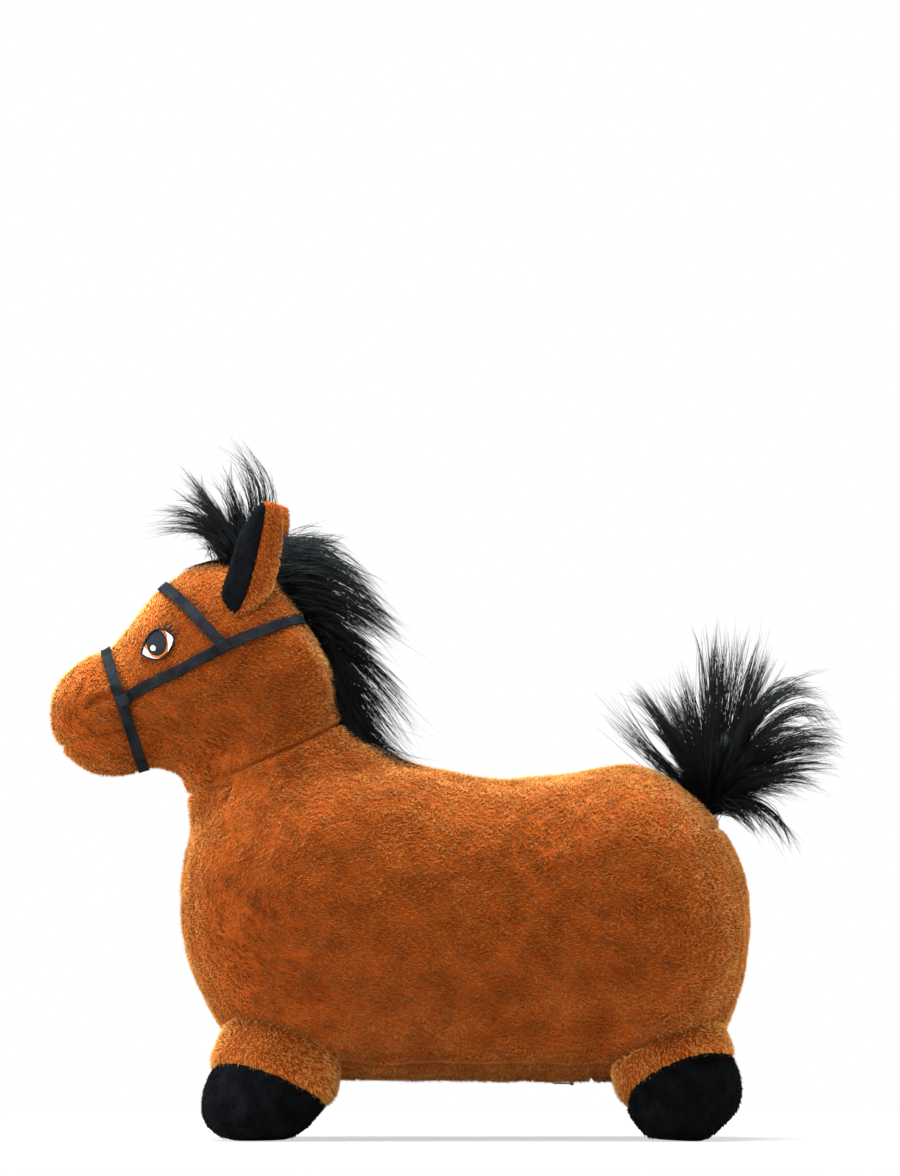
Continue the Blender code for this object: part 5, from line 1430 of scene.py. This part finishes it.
def ears():
    """A plush back and a velour lining, whose bulge is flattened; the right ear also leans back."""
    rows = [
        (ear_x(a), ear_z(h), ear_x(b), ear_z(h), depth * EAR_DEPTH / 2, ear_y(h))
        for h, a, b, depth in EAR_SHARES
    ]
    form = tube(ovals(along(rows, 70), 56))
    foot_x, foot_z = LINING_FOOT_SHARES
    tip_x, tip_z = LINING_TIP_SHARES
    near = LINING_DEPTH_SHARE * EAR_DEPTH / 2
    foot = np.array((ear_x(foot_x) + 0.001, ear_y(foot_z) - near, ear_z(foot_z)))
    tip = np.array((ear_x(tip_x) + 0.003, ear_y(tip_z) - near / 4, ear_z(tip_z)))
    up = unit(tip - foot)
    front = np.array((-math.cos(LINING_TURN), -math.sin(LINING_TURN), 0))
    front = unit(front - front @ up * up)
    base, faces = cut_along(*form, [(tuple(foot), tuple(front))])
    normals = normals_of(base, faces)
    ahead = (base[faces].mean(axis=1) - foot) @ front > 0
    for name, chosen in (("back", ~ahead), ("lining", ahead)):
        kept_faces, shape, ways = part_of(faces, chosen, base, normals)
        if name == "back":
            surface = (shape - EAR_INSET * ways, kept_faces, ways)
        else:
            out = (shape - foot) @ front
            shape = shape - LINING_FLATTENED * out[:, None] * front
            surface = (shape, kept_faces, normals_of(shape, kept_faces))
        for side, placed in on_each_side(surface):
            if side == "right":
                back = FAR_EAR_LEAN * np.clip(placed[0][:, 2:] - ear_z(0.2), 0, None) * [1, 0, 0]
                placed = (placed[0] + back, *placed[1:])
            ear = f"ear_{side}"
            if name == "back":
                plush_piece("plush_" + ear, placed, EAR_FLOW, ear, [ear], *EAR_PLUSH)
            else:
                lining = walled(placed[0], placed[1], LINING_WALL, placed[2])
                nap("velour_" + ear, lining, ear, [f"ear_lining_{side}"])


ears()


# Mane, forelock and tail

# Each lock in the photograph's pixels: where it starts, a place halfway, its tip, and how many hairs
TAIL_LOCKS = (
    (706, 802, 655, 755, 605, 703, 14), (704, 800, 672, 738, 630, 684, 60), (702, 800, 660, 764, 617, 717, 16),
    (706, 800, 685, 735, 657, 687, 34), (708, 800, 692, 735, 672, 683, 40), (708, 800, 698, 728, 680, 667, 16),
    (709, 800, 704, 735, 700, 678, 46), (710, 800, 712, 700, 712, 633, 56), (711, 800, 719, 712, 723, 645, 16),
    (712, 800, 728, 705, 733, 625, 20), (713, 800, 740, 705, 761, 623, 56), (714, 800, 745, 714, 768, 652, 46),
    (714, 800, 748, 722, 773, 679, 24), (714, 799, 765, 706, 822, 693, 66), (714, 800, 785, 713, 833, 732, 50),
    (714, 801, 768, 735, 807, 735, 40), (714, 801, 790, 737, 847, 735, 14), (714, 802, 778, 748, 843, 750, 58),
    (714, 802, 776, 761, 838, 757, 50), (714, 803, 772, 777, 823, 785, 40), (714, 803, 758, 789, 800, 797, 40),
    (714, 803, 775, 771, 830, 770, 14), (714, 803, 764, 806, 792, 850, 44), (713, 804, 736, 807, 755, 830, 28),
    (713, 804, 748, 811, 770, 843, 22), (713, 804, 744, 803, 765, 828, 22), (704, 798, 678, 745, 648, 722, 40),
)
UPPER_LOCKS = (
    (284, 547, 303, 539, 326, 538, 6), (284, 550, 316, 542, 340, 547, 8), (284, 552, 332, 555, 368, 588, 26),
    (284, 558, 337, 565, 378, 600, 30), (284, 566, 342, 578, 398, 629, 50), (286, 576, 343, 590, 406, 638, 56),
    (288, 586, 340, 602, 402, 643, 60), (292, 596, 338, 608, 390, 640, 50), (296, 604, 332, 613, 376, 640, 40),
    (300, 610, 326, 618, 352, 648, 36), (284, 560, 312, 566, 338, 590, 60), (284, 575, 312, 590, 345, 615, 60),
    (290, 590, 312, 608, 336, 632, 50), (284, 550, 308, 552, 330, 568, 50),
)
LOWER_LOCKS = (
    (312, 618, 348, 633, 384, 656, 18), (318, 622, 366, 658, 413, 705, 20), (322, 632, 366, 668, 419, 733, 22),
    (326, 645, 362, 682, 398, 720, 34), (329, 658, 362, 696, 409, 752, 40), (331, 670, 358, 710, 410, 762, 36),
    (334, 685, 362, 728, 414, 772, 40), (337, 700, 368, 742, 420, 779, 44), (342, 712, 374, 752, 428, 784, 44),
    (350, 722, 382, 757, 424, 781, 34), (318, 628, 342, 655, 366, 690, 60), (324, 650, 348, 685, 376, 722, 60),
    (330, 672, 352, 706, 384, 742, 60), (320, 626, 352, 640, 376, 668, 50),
)
FORELOCK_LOCKS = (
    (256, 540, 262, 485, 223, 440, 26), (246, 545, 236, 505, 218, 467, 34), (240, 548, 213, 508, 186, 467, 40),
    (238, 550, 216, 520, 184, 474, 30), (236, 552, 207, 511, 170, 499, 60), (234, 553, 202, 521, 158, 519, 60),
    (232, 555, 200, 529, 147, 531, 28), (230, 556, 208, 533, 184, 536, 44), (228, 557, 214, 542, 200, 547, 34),
    (250, 540, 252, 500, 236, 460, 22), (245, 548, 238, 520, 226, 488, 60), (238, 553, 222, 530, 204, 512, 60),
)
HAIR_STEPS = 7
HAIR_RADIUS, HAIR_WAVE = 0.00030, 0.0008


LOCK_SPREADS = (0.0050, 0.0014, 0.0002)
FLAT_LOCKS = ((226, 561, 206, 567, 184, 575, 26), (222, 562, 200, 570, 180, 577, 16))


def locks(rows, leans, spreads, root_lean=0.45, shortest=0.6, longest=1.0, fullness=1.6, twins=3,
          apart=0.0045):
    """Hairs on a parabola through each lock's three places; a lock parts into twins that end in points.

    Spreads are a hair's scatter at the three places; shortest and longest are shares of the parabola.
    """
    share = len(leans) * twins
    rows = np.repeat(np.array(rows, float), share, axis=0)
    lean = np.tile(np.repeat(np.array(leans, float), twins), len(rows) // share)
    lean = lean + rng.normal(size=len(lean)) * 0.006
    free = (np.arange(len(rows)) % share != 0)[:, None]
    sway = rng.normal(size=(2, len(rows), 2)) * apart * free
    counts = np.maximum(rows[:, 6] / share * fullness, 2 if fullness < 1 else 4).astype(int)
    owner = np.repeat(np.arange(len(rows)), counts)
    total = len(owner)
    flat = [spots(*rows[:, k : k + 2])[owner] for k in (0, 2, 4)]
    flat[1] = flat[1] + 0.6 * sway[0][owner]
    flat[2] = flat[2] + sway[1][owner] + 0.5 * sway[0][owner]
    depths = (root_lean, 0.8, 1.0)
    same = rng.normal(size=(total, 3))
    places = []
    for where, depth, spread in zip(flat, depths, spreads):
        own_way = 0.75 * same + 0.66 * rng.normal(size=(total, 3))
        place = np.stack([where[:, 0], lean[owner] * depth, where[:, 1]], axis=1)
        places.append(place + own_way * spread)
    start, via, end = places
    control = 2 * via - (start + end) / 2
    return curved(start, control, end, longest * rng.uniform(shortest, 1.0, total) ** 0.8)


def wisps(rows, leans):
    """Single hairs that stray from the locks and reach a little past them."""
    return locks(rows, leans, (0.004, 0.004, 0.005), 0.8, 0.8, 1.1, 0.05, 1, 0.006)


def curved(start, control, end, reach):
    """Quadratic curves up to a share of their length, a little wavy towards their ends."""
    total = len(start)
    s = np.linspace(0, 1, HAIR_STEPS)[None, :, None] * reach[:, None, None]
    path = (1 - s) ** 2 * start[:, None] + 2 * s * (1 - s) * control[:, None] + s**2 * end[:, None]
    phase = rng.uniform(0, 2 * math.pi, (total, 1, 3))
    turn = rng.uniform(0.5, 1.3, (total, 1, 1)) * 2 * math.pi
    return path + HAIR_WAVE * s * np.sin(s * turn + phase)


def lifted(paths, clearance=0.0015):
    """Hairs with every point that would lie in the cover moved out of it."""
    flat = paths.reshape(-1, 3)
    height, out = over_cover(flat, 0.01)
    inside = (height < clearance) & (height > -0.03)
    flat = flat + np.where(inside, clearance - height, 0)[:, None] * out
    return flat.reshape(paths.shape)


def hair_piece(name, paths, body, node_names, core=None):
    """Hairs, and the dark closed form that they hide, as one piece."""
    groups = [strands(paths, np.full(len(paths), HAIR_RADIUS), rng.uniform(0, 1, len(paths)))]
    if core is not None:
        groups.append(even(core, 0.3, 0.0))
    furred(name, groups, HAIR, body, node_names, "black_pile")


def fan(root, angles, lengths, count, shares, leans, bend):
    """Shorter hairs that fill a fan: an angle in side view, a lean to the side, and a droop to each side."""
    side = rng.uniform(angles[0], angles[-1], count)
    reach = np.interp(side, angles, lengths) * rng.uniform(*shares, count)
    side, lean = np.radians(side), np.radians(rng.uniform(-leans, leans, count))
    way = np.stack([np.sin(side) * np.cos(lean), np.sin(lean), np.cos(side) * np.cos(lean)], axis=1)
    start = root + rng.normal(size=(count, 3)) * 0.004
    end = start + way * reach[:, None]
    control = (start + end) / 2 + np.array([0, 0, bend]) * np.abs(np.sin(side))[:, None]
    return curved(start, control, end, rng.uniform(0.85, 1.0, count))


def blob(middle, half):
    """A closed ellipsoid: twenty rings round a vertical axis."""
    turns = np.linspace(0, math.pi, 20)
    sine, z = np.sin(turns), middle[2] + half[2] * np.cos(turns)
    front, back = middle[0] - half[0] * sine, middle[0] + half[0] * sine
    return tube(ovals(np.stack([front, z, back, z, half[1] * sine, np.full(20, middle[1])], axis=1), 28))


TAIL_HALF_WIDTH, TAIL_END = 0.064, 0.350
TAIL_ROOT, TAIL_CORE = spots((712, 802), (727, 760))
TAIL_HAIRS = 1900


def tail():
    """Short hairs in a fan round a dark core, longer locks over them; the last wisps are drawn in."""
    root = np.insert(TAIL_ROOT, 1, 0.0)
    angles = (-50, -46, -30, -12, 2, 16, 30, 46, 68, 82, 100, 122)
    lengths = (0.080, 0.092, 0.100, 0.108, 0.118, 0.124, 0.124, 0.122, 0.112, 0.098, 0.070, 0.050)
    full = 1.0
    inner = fan(root, angles, lengths, int(TAIL_HAIRS * full), (0.40, 0.74), 52, 0.020)
    main = locks(TAIL_LOCKS, (-0.012, 0.014), LOCK_SPREADS, 0.45, 0.7, 1.0, 1.7, 5, 0.0070)
    outer = locks(TAIL_LOCKS[1::2], (-0.040, 0.040), (0.0050, 0.0015, 0.0002), 0.45, 0.65, 1.0, 1.5, 4, 0.0070)
    paths = np.concatenate([inner, main, outer, wisps(TAIL_LOCKS, (-0.03, 0.0, 0.03))])
    paths[:, :, 1] = np.clip(paths[:, :, 1], -TAIL_HALF_WIDTH, TAIL_HALF_WIDTH)
    paths[:, :, 0] = np.minimum(paths[:, :, 0], TAIL_END + 0.4 * (paths[:, :, 0] - TAIL_END))
    core = blob(np.insert(TAIL_CORE, 1, 0.0), (0.022, 0.024, 0.026))
    hair_piece("hair_tail", paths, "tail", ["tail_tuft", "tail_stub"], core)


def mane():
    """Locks on the crest, near and far side, and shorter hairs that cover the strip that they grow from."""
    for name, rows, near, longest in (
        ("upper", UPPER_LOCKS, 0.020, 0.50),
        ("lower", LOWER_LOCKS, 0.014, 0.42),
    ):
        main = locks(rows, (-near, 0.0, near), LOCK_SPREADS, 0.9, 0.7, 1.0, 2.0, 5, 0.0060)
        leans = (-1.3 * near, -0.6 * near, 0.0, 0.6 * near, 1.3 * near)
        fill = locks(rows[2:], leans, (0.0065, 0.0050, 0.0040), 1.0, 0.3, longest, 3.0, 1)
        paths = lifted(np.concatenate([main, fill, wisps(rows, (-near, 0.0, near))]))
        hair_piece(f"hair_mane_{name}", paths, "cover", [f"mane_{name}", f"mane_strip_{name}"])


def forelock():
    """Locks that rise from the forehead, shorter hairs among them, and two that lie flat on the head."""
    main = locks(FORELOCK_LOCKS, (-0.014, 0.012), (0.0045, 0.0013, 0.0002), 0.8, 0.7, 1.0, 1.6, 5, 0.0060)
    fill = locks(FORELOCK_LOCKS, (-0.016, 0.0, 0.014), (0.0060, 0.0055, 0.0050), 0.9, 0.3, 0.55, 1.8, 1)
    main = np.concatenate([main, fill, wisps(FORELOCK_LOCKS, (-0.014, 0.012))])
    flat = locks(FLAT_LOCKS, (0.0, 0.006), (0.003, 0.002, 0.002), twins=1)
    paths = np.concatenate([lifted(main), lifted(flat, 0.0035)])
    hair_piece("hair_forelock", paths, "cover", ["forelock"])


tail()
mane()
forelock()


# What the cover hides: bladder, stuffing, zip and valve

COVER_THICKNESS = 0.006
INSIDE_GAP = 0.0085
# The hollow in the bladder's underside that takes the valve
DISH_RIM = 0.026
VALVE_DISH_DEPTH = 0.0145
LOW_SKIN = 0.09
MUZZLE_GAP = 0.0015


def capped(points, triangles, kept):
    """The kept triangles of a closed surface, closed again with a fan round the middle of the cut."""
    faces, base = part_of(triangles, kept, points)
    rim = rim_edges(faces)
    a, b = rim.T
    middle = base[np.unique(rim)].mean(axis=0)
    fan_faces = np.stack([b, a, np.full(len(a), len(base))], axis=1)
    return np.concatenate([base, middle[None]]), np.concatenate([faces, fan_faces])


def lobe(table, start):
    """The rounded foot of the bladder inside a leg's sleeve."""
    rows = leg_rows(table, start)
    x, z = (rows[3][0] + rows[3][2]) / 2, (rows[3][1] + rows[3][3]) / 2
    return tube(ovals(along([*rows[:3], (x, z, x, z, 0.0, rows[3][5])], 60), 48))


def bladder_and_stuffing():
    """The inflated skin with four leg lobes and the valve's dish, and the wadding that fills the muzzle."""
    lobes = [lobe(FRONT_LEG_SHARES, FRONT_LEG_START_SHARE), lobe(REAR_LEG_SHARES, REAR_LEG_START_SHARE)]
    lobes += [mirrored(one) for one in lobes]
    points, triangles = fused([body_form, neck_form, head_form, *lobes], 0.0065, 14)
    points = points - INSIDE_GAP * normals_of(points, triangles)
    way = NOSE_LINE[1] - NOSE_LINE[0]
    shift = MUZZLE_GAP * unit(np.array([-way[1], way[0]]))
    for sign, name in ((-1, "bladder"), (1, "stuffing")):
        line = NOSE_LINE + sign * shift
        if name == "stuffing":
            points, triangles = fused([head_form], 0.004, 6)
            sunk = INSIDE_GAP - 0.001 + 0.0008 * wander(points, 0.012, 31)
            points = points - sunk[:, None] * normals_of(points, triangles)
        points, triangles = cut_along(points, triangles, [line_plane(line)])
        middles = points[triangles].mean(axis=1)
        ahead = (line_side(middles, line) > 0) & (line_side(middles, NECK_LINE) > 0)
        points, triangles = capped(points, triangles, ahead == (name == "stuffing"))
        if name == "bladder":
            centre = np.array([body_x(VALVE_SHARE), 0.0])
            floor = body_z(BELLY_SHARE) + COVER_THICKNESS + 0.0009
            reach = np.linalg.norm(points[:, :2] - centre, axis=1)
            inside = np.clip((DISH_RIM - reach) / 0.006, 0, 1)
            raised = floor + VALVE_DISH_DEPTH + 0.0004
            low = points[:, 2] < LOW_SKIN
            lifted_z = points[:, 2] + inside**2 * (3 - 2 * inside) * (raised - points[:, 2])
            points[:, 2] = np.where(low & (reach < DISH_RIM), lifted_z, points[:, 2])
            made = piece("inflated_bladder", points, triangles, VINYL, "cover", [name], "grey_vinyl")
        else:
            nodes = ["muzzle_stuffing"]
            made = piece("muzzle_wadding", points, triangles, FIBRE, "cover", nodes, "white_fibre")


bladder_and_stuffing()
for name, look in (
    ("zip_chain", CHAIN),
    ("zip_tape_left", TAPE),
    ("zip_tape_right", TAPE),
    ("zip_slider", ZINC),
    ("zip_pull", ZINC),
    ("valve_seat", CLEAR),
    ("valve_plug", CLEAR),
):
    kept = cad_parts[name]
    kept.data.materials.clear()
    kept.data.materials.append(look)


# Camera, light and floor

CAMERA_DISTANCE = 12.0
PICTURE_CENTRE = 0.0104
CAMERA_HEIGHT = 0.30
SENSOR = 36
PHOTO_HEIGHT = 1176
FLOOR_LINE = 1138.5
scene = bpy.context.scene
camera_data = bpy.data.cameras.new("camera")
camera_data.sensor_width = SENSOR
camera_data.lens = SENSOR * CAMERA_DISTANCE / (PHOTO_HEIGHT * PIXEL)
camera_data.shift_y = (PHOTO_HEIGHT / 2 - FLOOR_LINE + CAMERA_HEIGHT / PIXEL) / -PHOTO_HEIGHT
camera = linked("camera", camera_data)
camera.location = (PICTURE_CENTRE, -CAMERA_DISTANCE, CAMERA_HEIGHT)
camera.rotation_euler = (math.radians(90), 0, 0)
scene.camera = camera


def area_light(name, place, target, size, power, colour):
    """A round lamp that points at its target."""
    data = bpy.data.lights.new(name, "AREA")
    data.shape = "DISK"
    data.size = size
    data.energy = power
    data.color = colour
    made = linked(name, data)
    made.location = place
    way = Vector(target) - Vector(place)
    made.rotation_euler = way.to_track_quat("-Z", "Y").to_euler()


COOL, WARM = (0.86, 1.0, 1.04), (1.0, 0.86, 0.74)
area_light("top", (-0.30, -0.05, 1.9), (0, 0, 0.25), 1.5, 250, COOL)
area_light("left", (-1.9, -0.60, 0.55), (0, 0, 0.22), 1.2, 105, COOL)
area_light("right", (2.0, -0.35, 0.6), (0, 0, 0.22), 1.3, 50, COOL)

# Camera, mirror and see-through rays meet a white background; the rest get a faint warm light
world = cleared(bpy.data.worlds.new("studio"))
rays = node(world, "ShaderNodeLightPath")
seen = reckoned(world, "MAXIMUM", (rays, "Is Camera Ray"), (rays, "Is Glossy Ray"))
seen = reckoned(world, "MAXIMUM", seen, (rays, "Is Transmission Ray"))
ambient = node(world, "ShaderNodeBackground", {"Color": (*WARM, 1), "Strength": 0.05})
white = node(world, "ShaderNodeBackground", {"Color": (1, 1, 1, 1), "Strength": 1})
choose = node(world, "ShaderNodeMixShader", {0: seen, 1: (ambient, 0), 2: (white, 0)})
node(world, "ShaderNodeOutputWorld", {"Surface": (choose, 0)})
scene.world = world

# To the camera the floor is pale round the toy and white further out; the light falls on its own colour
floor_look = cleared(bpy.data.materials.new("pale floor"))
diffuse = node(floor_look, "ShaderNodeBsdfDiffuse", {"Color": (0.60, 0.53, 0.46, 1)})
glow = node(floor_look, "ShaderNodeEmission", {"Color": (1, 1, 1, 1), "Strength": 1.0})
place = node(floor_look, "ShaderNodeTexCoord"), "Object"
far = node(floor_look, "ShaderNodeVectorMath", {0: place}, operation="LENGTH"), "Value"
fade = ramp(floor_look, far, 0.6, 1.0, 0.35, 1.1)
look_at = node(floor_look, "ShaderNodeLightPath")
both = reckoned(floor_look, "MULTIPLY", fade, (look_at, "Is Camera Ray"))
blend_floor = node(floor_look, "ShaderNodeMixShader", {0: both, 1: (diffuse, 0), 2: (glow, 0)})
node(floor_look, "ShaderNodeOutputMaterial", {"Surface": (blend_floor, 0)})
bpy.ops.mesh.primitive_plane_add(size=8, location=(0, 0, -0.0006))
floor = bpy.context.object
floor.name = "floor"
floor.data.materials.append(floor_look)

scene.view_settings.view_transform = "Standard"
